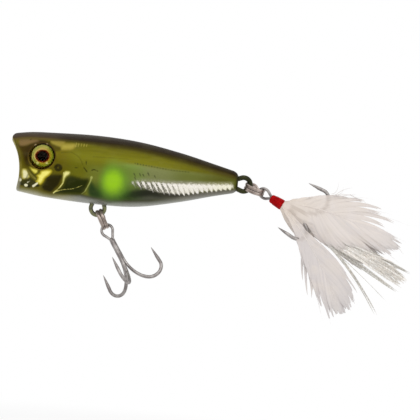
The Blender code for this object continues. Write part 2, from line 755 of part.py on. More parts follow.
def build_rig(name, loop, ring_lean, hook_lean, tilt, ring_roll, hook_roll):
    """A split ring on its hanger and a treble on the ring. Returns the pivot that carries the treble."""
    lie = Matrix.Rotation(math.radians(ring_lean), 4, "Y")
    wire = loop + lie.to_3x3() @ Vector((LOOP_RADIUS, 0.0, 0.0))
    swung = Matrix.Translation(wire) @ lie @ Matrix.Rotation(math.radians(-tilt), 4, "Z")
    ring_pivot = pivot(f"{name}_ring_pivot", swung)
    steel = material("ring_steel", (0.36, 0.33, 0.30), 0.28, 1.0)
    ring = as_part(tube(f"{name}_split_ring", ring_route(), RING_WIRE, resolution=1), steel)
    ring.parent = ring_pivot
    ring.rotation_euler = (math.radians(ring_roll), 0.0, 0.0)
    far = ring_centre_drop() + (RING_DIAMETER - RING_WIRE) / 2
    turn = Matrix.Rotation(math.radians(hook_lean - ring_lean), 4, "Y")
    hook_frame = swung @ Matrix.Translation((far, 0.0, 0.0)) @ turn
    hook_pivot = pivot(f"{name}_hook_pivot", hook_frame, ring_pivot)
    build_treble(f"{name}_treble", hook_roll, hook_pivot)
    gap = least_gap(ring_route(), RING_WIRE, 16)
    print(f"{name} ring: least gap between its coils {gap / MM:.2f} mm")
    return hook_pivot


# Dressing of the tail hook


def whip_radius(along):
    share = (along - WHIP_FROM) / WHIP_LENGTH
    return WHIP_FRONT_RADIUS + (WHIP_REAR_RADIUS - WHIP_FRONT_RADIUS) * share


def build_whipping(roll, holder):
    red = material("red_thread", (0.55, 0.01, 0.01), 0.55)
    axis = shank_axis(roll)
    end = WHIP_FROM + WHIP_LENGTH
    bore = shank_radius() + HOOK_WIRE / 2 + WHIP_BORE_GAP
    profile = [(bore, end), (WHIP_REAR_RADIUS, end), (WHIP_FRONT_RADIUS, WHIP_FROM), (bore, WHIP_FROM), (bore, end)]
    core = as_part(turned("whipping_core", profile), red)
    hang(core, holder)
    core.location = axis
    core.rotation_euler = (0.0, math.pi / 2, 0.0)
    pitch = THREAD_DIAMETER + THREAD_GAP
    turns = (WHIP_LENGTH - THREAD_DIAMETER) / pitch
    count = round(24 * turns)
    route = []
    for i in range(count + 1):
        along = WHIP_FROM + THREAD_DIAMETER / 2 + pitch * turns * i / count
        angle = 2 * math.pi * turns * i / count
        radius = whip_radius(along) + THREAD_SEAT + THREAD_DIAMETER / 2
        route.append(axis + Vector((along, radius * math.sin(angle), radius * math.cos(angle))))
    route.insert(0, route[0] + (route[0] - route[1]).normalized() * THREAD_DIAMETER)
    route.append(route[-1] + (route[-1] - route[-2]).normalized() * THREAD_DIAMETER)
    thread = as_part(tube("whipping_thread", route, THREAD_DIAMETER, resolution=1), red)
    hang(thread, holder)
    print(f"whipping thread: least gap between its turns {least_gap(route, THREAD_DIAMETER, 12) / MM:.2f} mm")


def bent(root, middle, tip, t):
    """A point on the curve that starts at the root, is drawn towards the middle and ends at the tip."""
    return root * (1 - t) ** 2 + middle * (2 * t * (1 - t)) + tip * t * t


def feather_width(t, width, full):
    """A quill that opens into a blade with a round end."""
    blade = math.sin(math.pi / 2 * min(max((t - 0.06) / (full - 0.06), 0.0), 1.0)) ** 1.6
    rounded = math.sqrt(max(1 - max((t - 0.78) / 0.22, 0.0) ** 2, 0.0))
    return max(QUILL_WIDTH, QUILL_WIDTH + (width - QUILL_WIDTH) * blade) * max(rounded, 0.12)


def build_feather(name, root, middle, tip, width, full, edge, holder):
    """A thin curved blade, lens-shaped across."""
    bm = bmesh.new()
    rings = []
    steps = 14
    for i in range(steps + 1):
        t = i / steps
        spot = bent(root, middle, tip, t)
        ahead = (bent(root, middle, tip, t + 0.01) - bent(root, middle, tip, t - 0.01)).normalized()
        side = (edge - ahead * edge.dot(ahead)).normalized()
        flat = ahead.cross(side)
        half = feather_width(t, width, full) / 2
        thick = FEATHER_THICKNESS / 2
        ring = []
        for across, up in ((1, 0), (0.5, 1), (-0.5, 1), (-1, 0), (-0.5, -1), (0.5, -1)):
            ring.append(bm.verts.new(spot + side * half * across + flat * thick * up))
        rings.append(ring)
    for first, second in zip(rings, rings[1:]):
        for j in range(6):
            k = (j + 1) % 6
            bm.faces.new((first[j], first[k], second[k], second[j]))
    bm.faces.new(rings[0])
    bm.faces.new(rings[-1])
    white = material("white_feather", (0.80, 0.74, 0.70), 0.7)
    hang(as_part(mesh_object(name, bm), white), holder)


def build_dressing(roll, holder):
    build_whipping(roll, holder)
    axis = shank_axis(roll)
    start = WHIP_FROM + WHIP_LENGTH + FEATHER_GAP
    for name, azimuth, middle, tip, width, full, edge in FEATHERS:
        root = axis + Vector((start, 0.0, 0.0)) + outwards(azimuth) * DRESSING_RADIUS
        points = (axis + Vector(middle) * MM, axis + Vector(tip) * MM)
        build_feather(name, root, *points, width * MM, full, Vector(edge), holder)
    foil = material("tinsel_foil", (0.75, 0.70, 0.68), 0.25, 0.7)
    for number, (azimuth, middle, tip) in enumerate(TINSEL, 1):
        root = axis + Vector((start, 0.0, 0.0)) + outwards(azimuth) * DRESSING_RADIUS
        route = [bent(root, axis + Vector(middle) * MM, axis + Vector(tip) * MM, i / 12) for i in range(13)]
        strand = tube(f"tinsel_strand_{number}", route, TINSEL_WIDTH, resolution=0)
        hang(as_part(strand, foil), holder)


def main():
    clear_scene()
    left, right = build_shells()
    build_inside((left, right))
    build_hangers((left, right))
    build_pegs(left, right)
    build_eye("left_eye", -1, left)
    build_eye("right_eye", 1, right)
    build_rig(
        "belly",
        BELLY_LOOP,
        BELLY_RING_LEAN,
        BELLY_HOOK_LEAN,
        BELLY_TILT,
        BELLY_RING_ROLL,
        BELLY_HOOK_ROLL,
    )
    tail = build_rig(
        "tail",
        TAIL_LOOP,
        TAIL_RING_LEAN,
        TAIL_HOOK_LEAN,
        TAIL_TILT,
        TAIL_RING_ROLL,
        TAIL_HOOK_ROLL,
    )
    build_dressing(TAIL_HOOK_ROLL, tail)


main()
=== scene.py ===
import math
from functools import partialmethod

import bmesh
import bpy
import numpy as np
from mathutils import Matrix, Vector
from mathutils.geometry import tessellate_polygon


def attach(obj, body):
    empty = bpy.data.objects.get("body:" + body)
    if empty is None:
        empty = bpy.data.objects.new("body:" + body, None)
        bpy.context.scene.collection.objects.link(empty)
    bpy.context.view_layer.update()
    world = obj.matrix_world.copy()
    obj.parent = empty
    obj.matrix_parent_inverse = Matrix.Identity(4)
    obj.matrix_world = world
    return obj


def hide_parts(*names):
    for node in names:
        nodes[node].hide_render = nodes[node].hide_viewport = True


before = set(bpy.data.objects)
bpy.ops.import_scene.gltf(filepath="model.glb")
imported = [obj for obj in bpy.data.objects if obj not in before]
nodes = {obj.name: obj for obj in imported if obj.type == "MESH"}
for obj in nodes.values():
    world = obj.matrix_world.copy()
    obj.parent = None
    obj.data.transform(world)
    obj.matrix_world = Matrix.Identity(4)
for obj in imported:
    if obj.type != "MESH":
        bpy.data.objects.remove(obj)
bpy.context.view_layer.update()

MM = 0.001
TINY = 1e-9
QUARTER, TURN = math.pi / 2, 2 * math.pi


# Boards: node trees that are filled by Python expressions


class Signal:
    """A socket that takes part in expressions."""

    def __init__(self, board, socket):
        self.board, self.socket = board, socket

    def maths(self, operation, other, swapped=False):
        first, second = (other, self) if swapped else (self, other)
        return self.board.add("ShaderNodeMath", {"operation": operation}, {0: first, 1: second})

    __add__ = partialmethod(maths, "ADD")
    __radd__ = partialmethod(maths, "ADD", swapped=True)
    __sub__ = partialmethod(maths, "SUBTRACT")
    __rsub__ = partialmethod(maths, "SUBTRACT", swapped=True)
    __mul__ = partialmethod(maths, "MULTIPLY")
    __rmul__ = partialmethod(maths, "MULTIPLY", swapped=True)


class Board:
    """A node tree of a finish, of the world or of a sweep."""

    def __init__(self, tree):
        self.tree = tree
        tree.nodes.clear()

    def add(self, kind, settings, sockets, out=0):
        node = self.tree.nodes.new(kind)
        for name, value in settings.items():
            setattr(node, name, value)
        for name, value in sockets.items():
            self.feed(node.inputs[name], value)
        return Signal(self, node.outputs[out]) if node.outputs else node

    def feed(self, socket, value):
        if isinstance(value, Signal):
            self.tree.links.new(value.socket, socket)
        else:
            socket.default_value = value

    def blend(self, share, first, second):
        """From the first colour to the second. Three numbers are a colour as paint takes it."""
        first, second = (paint(*c) if isinstance(c, tuple) and len(c) == 3 else c for c in (first, second))
        settings = {"data_type": "RGBA", "clamp_factor": True}
        return self.add("ShaderNodeMix", settings, {0: share, 6: first, 7: second}, 2)

    def ease(self, value, low, high):
        """0 below low, 1 above high, smooth between them."""
        settings = {"interpolation_type": "SMOOTHSTEP"}
        return self.add("ShaderNodeMapRange", settings, {"Value": value, "From Min": low, "From Max": high})

    def sine(self, value):
        return self.add("ShaderNodeMath", {"operation": "SINE"}, {0: value})

    def field(self, name):
        return self.add("ShaderNodeAttribute", {"attribute_name": name}, {}, "Fac")

    def place(self):
        return self.add("ShaderNodeTexCoord", {}, {}, "Object")

    def rays(self, *kinds):
        """1 for rays of these kinds, 0 for others."""
        return sum(self.add("ShaderNodeLightPath", {}, {}, f"Is {kind} Ray") for kind in kinds)

    def stretched(self, scale):
        return self.add("ShaderNodeMapping", {}, {"Vector": self.place(), "Scale": scale})

    def grain(self, where, scale, detail=2.0, rough=0.5):
        sockets = {"Vector": where, "Scale": scale, "Detail": detail, "Roughness": rough}
        return self.add("ShaderNodeTexNoise", {}, sockets)

    def relief(self, height, depth, strength=1.0):
        return self.add("ShaderNodeBump", {}, {"Strength": strength, "Distance": depth, "Height": height})


class Finish(Board):
    """A material with one shader, and the colour laid on it so far."""

    def __init__(self, name, **constants):
        self.material = bpy.data.materials.new(name)
        self.material.use_nodes = True
        super().__init__(self.material.node_tree)
        self.shader = self.tree.nodes.new("ShaderNodeBsdfPrincipled")
        out = self.tree.nodes.new("ShaderNodeOutputMaterial")
        self.tree.links.new(self.shader.outputs[0], out.inputs["Surface"])
        self.set(**constants)

    def set(self, **values):
        """Feeds the shader's sockets, whose names have spaces in place of underscores."""
        for name, value in values.items():
            self.feed(self.shader.inputs[name.replace("_", " ")], value)

    def coat(self, share, tint):
        """Lays a tint over the colour so far."""
        self.colour = self.blend(share, self.colour, tint)


def paint(red, green, blue):
    """A colour as it should look, from 0 to 255."""
    channels = [c / 255 for c in (red, green, blue)]
    return (*(c / 12.92 if c <= 0.04045 else ((c + 0.055) / 1.055) ** 2.4 for c in channels), 1.0)


# Body form in millimetres: the solids have it, with the belly a quarter of a millimetre higher

BODY_LENGTH, BODY_HEIGHT, BODY_WIDTH = 65.1, 19.2, 16.2
SECTION_POWER = 2.25
SEAM = 0.1
TAIL_ROUND, TAIL_FLAT = 1.6, 0.55
BODY_FORM = np.array((
    (0.000, 0.820, 0.850, 0.395),
    (0.080, 0.905, 0.911, 0.438),
    (0.160, 0.957, 0.960, 0.29),
    (0.375, 1.012, 1.000, 0.16),
    (0.560, 0.961, 0.930, -0.05),
    (0.745, 0.729, 0.700, 0.15),
    (0.897, 0.469, 0.440, 0.34),
    (1.000, 0.298, 0.270, 0.35),
))
LIP_X, LIP_WALL, LIP_ROUND, CUP_DEPTH = -5.0, 1.1, 0.5, 5.2
RIM_SET, RIM_LEAN, RIM_SCOOP, RIM_CORNER, RIM_FALL = 2.05, 1.5, 1.85, 0.2, 1.6
TAIL_X = LIP_X + BODY_LENGTH
EYE_X, EYE_Z = LIP_X + 9.3, 2.5
SOCKET_RADIUS, SOCKET_DEPTH, EYE_RADIUS, PRINT_RADIUS = 3.7, 1.25, 3.6, 3.05


def form(share, column):
    """A column of the form at these shares of the length, on a smooth curve."""
    at, level = BODY_FORM[:, 0], BODY_FORM[:, column]
    last = len(at) - 1
    before, after = np.maximum(np.arange(last + 1) - 1, 0), np.minimum(np.arange(last + 1) + 1, last)
    slope = (level[after] - level[before]) / (at[after] - at[before])
    i = np.clip(np.searchsorted(at, share, side="right") - 1, 0, last - 1)
    span = at[i + 1] - at[i]
    t = (share - at[i]) / span
    curve = (1 + 2 * t) * (1 - t) ** 2 * level[i] + t * t * (3 - 2 * t) * level[i + 1]
    return curve + span * (t * (1 - t) ** 2 * slope[i] - t * t * (1 - t) * slope[i + 1])


def section(x):
    """Half height, half width and middle height at x."""
    x = np.asarray(x, float)
    share = np.clip((x - LIP_X) / BODY_LENGTH, 0, 1)
    into = np.maximum(x - (TAIL_X - TAIL_ROUND), 0) / TAIL_ROUND
    rounding = TAIL_FLAT + (1 - TAIL_FLAT) * np.sqrt(np.maximum(1 - into**2, 0))
    half_height = form(share, 1) * BODY_HEIGHT / 2 * rounding
    return half_height, form(share, 2) * BODY_WIDTH / 2 * rounding, form(share, 3)


def rim_x(up):
    corner = np.clip((up - 1 + RIM_CORNER) / RIM_CORNER, 0, 1)
    return -RIM_SET - RIM_LEAN * up - RIM_SCOOP * up * up + RIM_FALL * (1 - np.sqrt(1 - 0.98 * corner**2))


def flank(x, z):
    half_height, half_width, middle = section(x)
    up = np.minimum(np.abs(z - middle) / half_height, 1)
    return half_width * (1 - up**SECTION_POWER) ** (1 / SECTION_POWER)


def rise(value, low, high):
    t = np.clip((value - low) / (high - low), 0, 1)
    return t * t * (3 - 2 * t)


def rounded_line(points, closed=False, steps=8):
    """A smooth curve through the points."""
    points = np.array(points, float)
    if closed:
        points = np.vstack((points[-1:], points, points[:2]))
    else:
        points = np.vstack((2 * points[0] - points[1], points, 2 * points[-1] - points[-2]))
    t = np.linspace(0, 1, steps, endpoint=False)[:, None]
    runs = []
    for a, b, c, d in zip(points, points[1:], points[2:], points[3:]):
        runs.append(0.5 * (2 * b + (c - a) * t + (2 * a - 5 * b + 4 * c - d) * t**2 + (3 * b - a - 3 * c + d) * t**3))
    line = np.vstack(runs)
    return line if closed else np.vstack((line, points[-2]))


def line_distance(line, x, z):
    """Distance to a line, and the share of its length at the nearest place."""
    best, share = np.full(x.shape, 1e9), np.zeros(x.shape)
    for i, (a, b) in enumerate(zip(line, line[1:])):
        d = b - a
        t = np.clip(((x - a[0]) * d[0] + (z - a[1]) * d[1]) / (d @ d), 0, 1)
        gap = np.hypot(x - a[0] - t * d[0], z - a[1] - t * d[1])
        near = gap < best
        best, share = np.where(near, gap, best), np.where(near, (i + t) / (len(line) - 1), share)
    return best, share


def stroke(points, x, z, start, end):
    """Positive inside a drawn stroke whose half width runs from start to end, in millimetres."""
    gap, share = line_distance(rounded_line(points), x, z)
    return start + (end - start) * share - gap


def patch(points, x, z):
    """Distance to a patch's edge, positive inside."""
    line = rounded_line(points, closed=True, steps=5)
    ring = np.vstack((line, line[:1]))
    gap, _ = line_distance(ring, x, z)
    inside = np.zeros(x.shape, bool)
    for a, b in zip(ring, ring[1:]):
        crosses = (a[1] > z) != (b[1] > z)
        slope = (b[0] - a[0]) / (b[1] - a[1] if b[1] != a[1] else TINY)
        inside ^= crosses & (x < a[0] + (z - a[1]) * slope)
    return np.where(inside, gap, -gap)


def spot(x, z, at, radius, tall=1.0):
    return radius - np.hypot(x - at[0], (z - at[1]) / tall)


# What is drawn on the flanks: places along the body and up it, in millimetres

BACK_EDGE = ((-5, 6.9), (-2.3, 7.6), (0, 7.9), (2.4, 8.0), (6.2, 8.15), (11.8, 8.2), (17.5, 8.25), (23.7, 8.25),
             (27, 8.2), (30.3, 8.0), (35.3, 7.45), (39, 6.95), (44.9, 5.85), (48.3, 5.1), (54.5, 3.75), (56.5, 3.35),
             (59.5, 2.6))
BELLY_EDGE = ((-5, -6.5), (1.4, -6.75), (3.7, -7.05), (5.7, -7.65), (8, -7.9), (10.6, -7.45), (13, -7.15),
              (15.8, -7.0), (17.5, -7.25), (20.1, -7.6), (24.3, -7.75), (29.9, -7.5), (35.5, -6.9), (42.6, -5.65),
              (50.5, -3.7), (57.5, -2.1), (60, -1.5))
SILVER_TOP = ((28, -2.4), (30.5, -2.2), (35.5, -2.0), (38.5, -1.9), (42.6, -1.8), (48, -1.45), (52.6, -1.15),
              (56.6, -0.8), (60, -0.5))
SILVER_LOW = ((28, -2.8), (30.6, -3.2), (33.2, -3.75), (35.5, -4.25), (38.3, -4.55), (42.6, -4.55), (45.6, -4.15),
              (47, -3.85), (49.6, -3.2), (52.3, -2.7), (55.1, -2.15), (56.6, -1.85), (60, -1.2))
TICKS_X = (13.6, 14.3, 15.1, 15.85, 16.6)
SCALE_TICKS = [((x, 7.1 - 0.03 * i), (x - 0.1, 6.1 + 0.08 * i)) for i, x in enumerate(TICKS_X)]

# Patches, through the places on their edges
PATCHES = {
    "behind_eye": ((7.0, 6.1), (8.3, 5.8), (9.5, 5.2), (9.2, 4.7), (8.4, 4.3), (7.4, 4.2)),
    "pink": ((-2.4, 7.0), (0.9, 7.3), (2.6, 7.1), (2.9, 6.5), (1.6, 6.1), (0.5, 5.7), (-0.5, 5.2), (-2.2, 5.0)),
    # Painted shade over the nose, below the pink patch.
    "snout": ((-3.2, 5.2), (0.4, 5.4), (1.4, 4.6), (0.7, 1.4), (1.0, -0.2), (0.2, -0.6), (-0.9, 1.2), (-1.9, 3.4)),
    "gold": ((9.4, 5.6), (9.8, 6.55), (11.5, 6.75), (13.2, 6.9), (13.4, 6.0), (12.8, 5.25), (11.2, 4.85),
        (9.7, 4.85)),
    "gold_fore": ((6.3, 7.1), (8.1, 7.4), (10.2, 7.45), (10.1, 6.1), (9.4, 5.7), (7.8, 6.0), (6.7, 6.4)),
    "crease": ((0.4, -1.1), (0.9, -1.5), (1.7, -2.4), (2.7, -3.2), (3.5, -4.0), (3.3, -4.7), (2.5, -4.3), (1.5, -3.5),
        (0.8, -2.6), (0.45, -1.8)),
    # The shines are painted light reflections on the moulded jaw and gill plate.
    "lip_shine": ((-0.8, -1.9), (0.0, -1.6), (0.8, -2.2), (1.2, -3.2), (1.0, -4.0), (0.0, -4.3), (-0.6, -4.1),
        (-0.8, -3.1)),
    "jaw_shine": ((1.1, -0.8), (2.1, -1.15), (3.4, -1.35), (3.6, -2.2), (2.8, -2.5), (1.8, -1.9), (1.3, -1.3)),
    "plate_shine": ((4.5, -1.7), (5.6, -1.25), (7.2, -1.15), (7.4, -1.8), (6.7, -2.7), (5.8, -3.6), (5.3, -4.6),
        (4.6, -5.4), (3.8, -5.2), (3.3, -4.7), (3.7, -3.7), (3.4, -3.0), (4.2, -2.5)),
    "blot": ((-1.3, -5.4), (-0.5, -4.6), (0.9, -4.1), (1.8, -3.8), (3.2, -4.7), (4.1, -5.1), (3.9, -6.0), (2.3, -6.2),
        (1.4, -6.7), (-0.1, -6.4), (-1.0, -6.0)),
    # Painted dark reflection over the hollow below the eye.
    "cheek": ((5.9, -3.0), (7.1, -2.45), (8.8, -2.15), (10.2, -2.1), (10.7, -2.6), (10.4, -3.8), (9.8, -5.2),
        (8.9, -6.4), (7.8, -7.45), (6.6, -7.4), (5.4, -7.0), (4.8, -6.1), (5.5, -4.7), (5.9, -3.8)),
    "gill_shade": ((11.6, -3.0), (12.8, -2.2), (14.4, -2.3), (16.4, -2.6), (18.0, -2.6), (18.2, -3.7), (17.7, -5.2),
        (17.0, -6.7), (15.8, -7.2), (13.5, -7.4), (11.0, -7.6), (8.8, -7.5), (9.6, -6.7), (10.7, -5.4), (11.2, -4.2)),
    "ridge_flare": ((11.0, -1.5), (11.5, -1.1), (12.6, -1.2), (12.5, -1.9), (11.85, -2.5), (11.35, -3.2),
        (10.95, -4.2), (10.75, -4.2), (10.8, -3.3), (10.8, -2.4)),
    "under_shade": ((18.9, -3.6), (20, -5.2), (22, -6.5), (25, -7.0), (28, -5.9), (30, -5.1), (33, -4.3), (36, -3.9),
        (41, -4.2), (46, -4.2), (51, -3.3), (56.5, -1.8), (56.5, -2.5), (51, -3.8), (46, -4.9), (42, -5.55),
        (38, -5.7), (35.5, -5.8), (32, -6.5), (29, -7.0), (25, -7.6), (22, -7.6), (18.8, -7.0), (18.3, -5.2)),
}

# Strokes: half widths at the start and at the end, and the lines
STROKES = (
    ("ticks", 0.16, 0.10, *SCALE_TICKS),
    ("gill_arc", 0.16, 0.10, ((9.6, 3.9), (12.3, 4.3), (14.75, 3.1), (16.1, 0.9))),
    ("spots", 0.30, 0.16, ((2.6, -6.1), (3.1, -5.7), (3.7, -5.2))),
    ("spots", 0.14, 0.06, ((0.9, -5.2), (1.5, -4.8))),
    ("ridge", 0.14, 0.10, ((10.9, -1.6), (11.1, -3.0), (10.9, -4.4), (10.2, -5.6), (9.3, -6.6), (8.4, -7.5))),
    ("cover", 0.17, 0.02, ((18.8, -2.1), (18.6, -3.2), (18.2, -4.3), (17.7, -5.4), (17.2, -6.3), (16.4, -7.0))),
    ("ray", 0.14, 0.0, ((8.9, -7.0), (9.9, -6.7), (11.3, -6.3), (14.1, -5.7), (16.8, -4.4))),
    ("flecks", 0.15, 0.09, ((16.9, 2.1), (17.05, 1.2)), ((14.0, 0.1), (14.6, 0.2)),
     ((16.4, 0.4), (16.9, -0.1), (17.4, -0.7)), ((18.7, -0.1), (19.4, 0.1), (20.4, -0.2)), ((0.6, 6.9), (0.9, 7.3)),
     ((5.9, 6.5), (6.1, 7.1))),
    ("rear_ticks", 0.16, 0.08, ((30.6, 0.1), (31.1, -0.7)), ((32.2, 0.2), (32.6, -0.5)), ((33.1, 0.1), (33.5, -0.5)),
     ((34.5, 0.6), (35.0, -0.2)), ((36.4, 0.0), (36.8, -0.6)), ((30.9, -1.0), (31.3, -1.5))),
    ("dots", 0.17, 0.12, ((30.7, 2.95), (35.7, 2.5), (40.9, 2.05), (46.0, 1.95))),
    ("upper_line", 0.12, 0.06, ((18.7, 3.7), (24.0, 3.9), (30.0, 4.0))),
    ("furrows", 0.26, 0.16, ((0.9, -0.5), (1.5, -1.7), (2.4, -2.9), (3.4, -4.2)),
     ((3.7, -1.8), (3.3, -2.7), (2.6, -3.2)), ((0.9, -3.0), (0.4, -4.3))),
)

# Spots: the middle, the radius along the body, and the height as a share of the length
SPOTS = (
    # The second spot is painted shadow of the socket's rim, above the eye and towards the nose; the gleam spots are
    # painted highlights on that rim.
    ("socket", (EYE_X, EYE_Z), SOCKET_RADIUS + 0.1), ("brow", (EYE_X - 0.7, EYE_Z + 0.6), SOCKET_RADIUS + 0.25),
    ("brow_gleam", (2.2, 5.4), 0.26, 1.3), ("brow_gleam", (5.4, 6.1), 0.2, 0.8), ("spots", (-1.2, -4.7), 0.34, 1.2),
    ("spots", (0.5, -6.05), 0.5, 0.75), ("darks", (-0.8, -5.75), 0.45, 0.8), ("darks", (1.35, -6.2), 0.45, 0.8),
    ("darks", (3.75, -5.75), 0.62, 0.8), ("cover", (18.8, -2.25), 0.30, 1.2),
)

# The moulded detail: the drawn shapes that raise or sink it, its height in millimetres, and the field where it starts
# and where it is full
RELIEF = (
    (("ridge", "ridge_flare"), 0.16, -0.3, 0.3), (("cover",), 0.10, -0.25, 0.2), (("plate_shine",), 0.07, -0.2, 0.7),
    (("lip_shine",), 0.05, -0.2, 0.4), (("socket",), 0.12, -0.75, -0.1), (("ray",), 0.04, -0.2, 0.1),
    (("crease",), -0.20, -0.25, 0.35), (("pore",), -0.10, -0.2, 0.2), (("cheek",), -0.06, -0.3, 0.9),
    (("gill_shade",), -0.05, -0.3, 0.9), (("gill_arc",), -0.04, -0.2, 0.1), (("flecks",), -0.04, -0.15, 0.1),
)


CUP_TO, CUP_REACH, LIP_BAND = 4, 0.955, 0.9
PORE_X, PORE_Z, PORE_RADIUS, PORE_HALF, PORE_LONG = 9.2, -0.3, 0.62, 0.36, 1.15
GREEN_X, GREEN_Z, GREEN_TALL = 24.95, -2.75, 0.86


def edge_height(edge, x):
    return np.interp(x, *zip(*edge))


def drawn_fields(x, y, z):
    """Every drawn shape as a field over the skin, positive inside it."""
    half_height, half_width, middle = section(x)
    up = (z - middle) / half_height
    reach = (np.maximum(np.abs(y) - SEAM, 0) / half_width) ** SECTION_POWER + np.abs(up) ** SECTION_POWER
    fields = {
        "cup": np.where(x < CUP_TO, CUP_REACH - reach, -1.0),
        "lip": LIP_BAND - (x - rim_x(np.clip(up, -1, 1))),
        "back": z - edge_height(BACK_EDGE, x),
        "belly": edge_height(BELLY_EDGE, x) - z,
        "silver_top": edge_height(SILVER_TOP, x) - z,
        "silver_low": z - edge_height(SILVER_LOW, x),
        "pore": PORE_HALF - np.abs(np.hypot((x - PORE_X) / PORE_LONG, z - PORE_Z) - PORE_RADIUS),
        "green": np.hypot(x - GREEN_X, (z - GREEN_Z) * GREEN_TALL),
        "along": x,
        "height": z,
    }
    drawn = [(name, patch(points, x, z)) for name, points in PATCHES.items()]
    drawn += [(name, stroke(line, x, z, start, end)) for name, start, end, *lines in STROKES for line in lines]
    drawn += [(name, spot(x, z, *form_of)) for name, *form_of in SPOTS]
    for name, inside in drawn:
        fields[name] = np.maximum(fields.get(name, inside), inside)
    return fields


def relief(fields):
    """How far the moulded detail stands out of the flank, in millimetres."""
    rows = ((np.maximum.reduce([fields[name] for name in names]), *levels) for names, *levels in RELIEF)
    return sum(height * rise(field, low, high) for field, height, low, high in rows)


# Meshes and pieces

SHARP_EDGE = math.radians(40)


def smoothed(mesh):
    mesh.shade_smooth()
    mesh.set_sharp_from_angle(angle=SHARP_EDGE)
    return mesh


def plain_mesh(name, verts, faces, merge=None):
    """A mesh whose faces point outwards, after points closer than merge have run together."""
    mesh = bpy.data.meshes.new(name)
    mesh.from_pydata([tuple(v) for v in verts], [], [tuple(f) for f in faces])
    mesh.validate()
    smoothed(mesh)
    bm = bmesh.new()
    bm.from_mesh(mesh)
    if merge:
        bmesh.ops.remove_doubles(bm, verts=bm.verts, dist=merge)
    bmesh.ops.recalc_face_normals(bm, faces=bm.faces)
    bm.to_mesh(mesh)
    bm.free()
    return mesh


def as_piece(name, mesh, finish, body, slot, *stands_for):
    """Puts a finished mesh on its body."""
    mesh.name = name
    mesh.materials.clear()
    mesh.materials.append(finish.material)
    piece = bpy.data.objects.new(name, mesh)
    bpy.context.scene.collection.objects.link(piece)
    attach(piece, body)
    if stands_for:
        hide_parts(*stands_for)
    return piece


def store(mesh, fields):
    for name, values in fields.items():
        attribute = mesh.attributes.new(name, "FLOAT", "POINT")
        attribute.data.foreach_set("value", np.asarray(values, np.float32))


def evaluated(holder):
    """The mesh that an object's modifiers make."""
    bpy.context.view_layer.update()
    return bpy.data.meshes.new_from_object(holder.evaluated_get(bpy.context.evaluated_depsgraph_get()))


def unit(vectors):
    return vectors / np.maximum(np.linalg.norm(vectors, axis=-1, keepdims=True), TINY)


SKIN_AROUND, SKIN_ALONG, CUP_ROWS, LIP_STEPS, TAIL_STEPS = 131, 380, 34, 6, 12
JOINT_FACE, WALL, WELD = 0.004, 1.2, 1e-7
HOLLOW_X, HOLLOW_AROUND = np.linspace(6.5, 51.0, 40), 25
BARE_SEAM, FULL_RELIEF = 1.0, 2.5
CUP_FLOOR, CUP_ROUND, CUP_FLARE = 0.06, 2.2, 0.6


def half_round(count):
    """Half of the section's outline from the top to the bottom, as shares of its width and height."""
    angles = np.linspace(QUARTER, -QUARTER, count)
    power = 2 / SECTION_POWER
    return np.abs(np.cos(angles)) ** power, np.sign(np.sin(angles)) * np.abs(np.sin(angles)) ** power


def grid_quads(index):
    corners = (index[:-1, :-1], index[:-1, 1:], index[1:, 1:], index[1:, :-1])
    return np.stack(corners, axis=2).reshape(-1, 4)


def skin_rows():
    """The cup from its floor to the lip, then the outside from the lip to the tail, and which rows are outside."""
    across, up = half_round(SKIN_AROUND)
    across[[0, -1]] = 0
    rows = []
    half_height, half_width, middle = section(rim_x(up))
    for share in np.linspace(CUP_FLOOR, 1, CUP_ROWS):
        x = rim_x(up * share) + CUP_DEPTH * (1 - share**CUP_ROUND) ** CUP_FLARE
        rows.append((x, (half_width - LIP_WALL) * across * share, middle + (half_height - LIP_WALL) * up * share))
    bends = np.linspace(0, QUARTER, LIP_STEPS)
    stations = [(0.0, LIP_ROUND * (1 - math.cos(a)), LIP_ROUND * (1 - math.sin(a))) for a in bends]
    stations += [(s, LIP_ROUND, 0.0) for s in np.linspace(0, 1, SKIN_ALONG)[1:]]
    ends = np.sin(np.linspace(0, QUARTER, TAIL_STEPS))[1:]
    stations += [(1.0, LIP_ROUND + TAIL_ROUND * a, 0.0) for a in ends]
    start, tail = rim_x(up) + LIP_ROUND, TAIL_X - TAIL_ROUND
    for s, back, inset in stations:
        x = start + (tail - start) * s + (back - LIP_ROUND)
        half_height, half_width, middle = section(x)
        rows.append((x, (half_width - inset) * across, middle + (half_height - inset) * up))
    return np.array(rows).transpose(0, 2, 1), np.arange(len(rows)) >= CUP_ROWS


def moulded(grid, outer, side):
    """The rows with the moulded detail raised along the flank's normals."""
    normal = unit(np.cross(np.gradient(grid, axis=0), np.gradient(grid, axis=1)))
    normal *= np.sign((normal[:, :, 1] * side).sum(axis=1))[:, None, None]
    raised = relief(drawn_fields(*(grid[:, :, k].ravel() for k in range(3)))).reshape(grid.shape[:2])
    raised *= outer[:, None] * rise(np.abs(grid[:, :, 1]), BARE_SEAM, FULL_RELIEF)
    return grid + normal * raised[:, :, None]


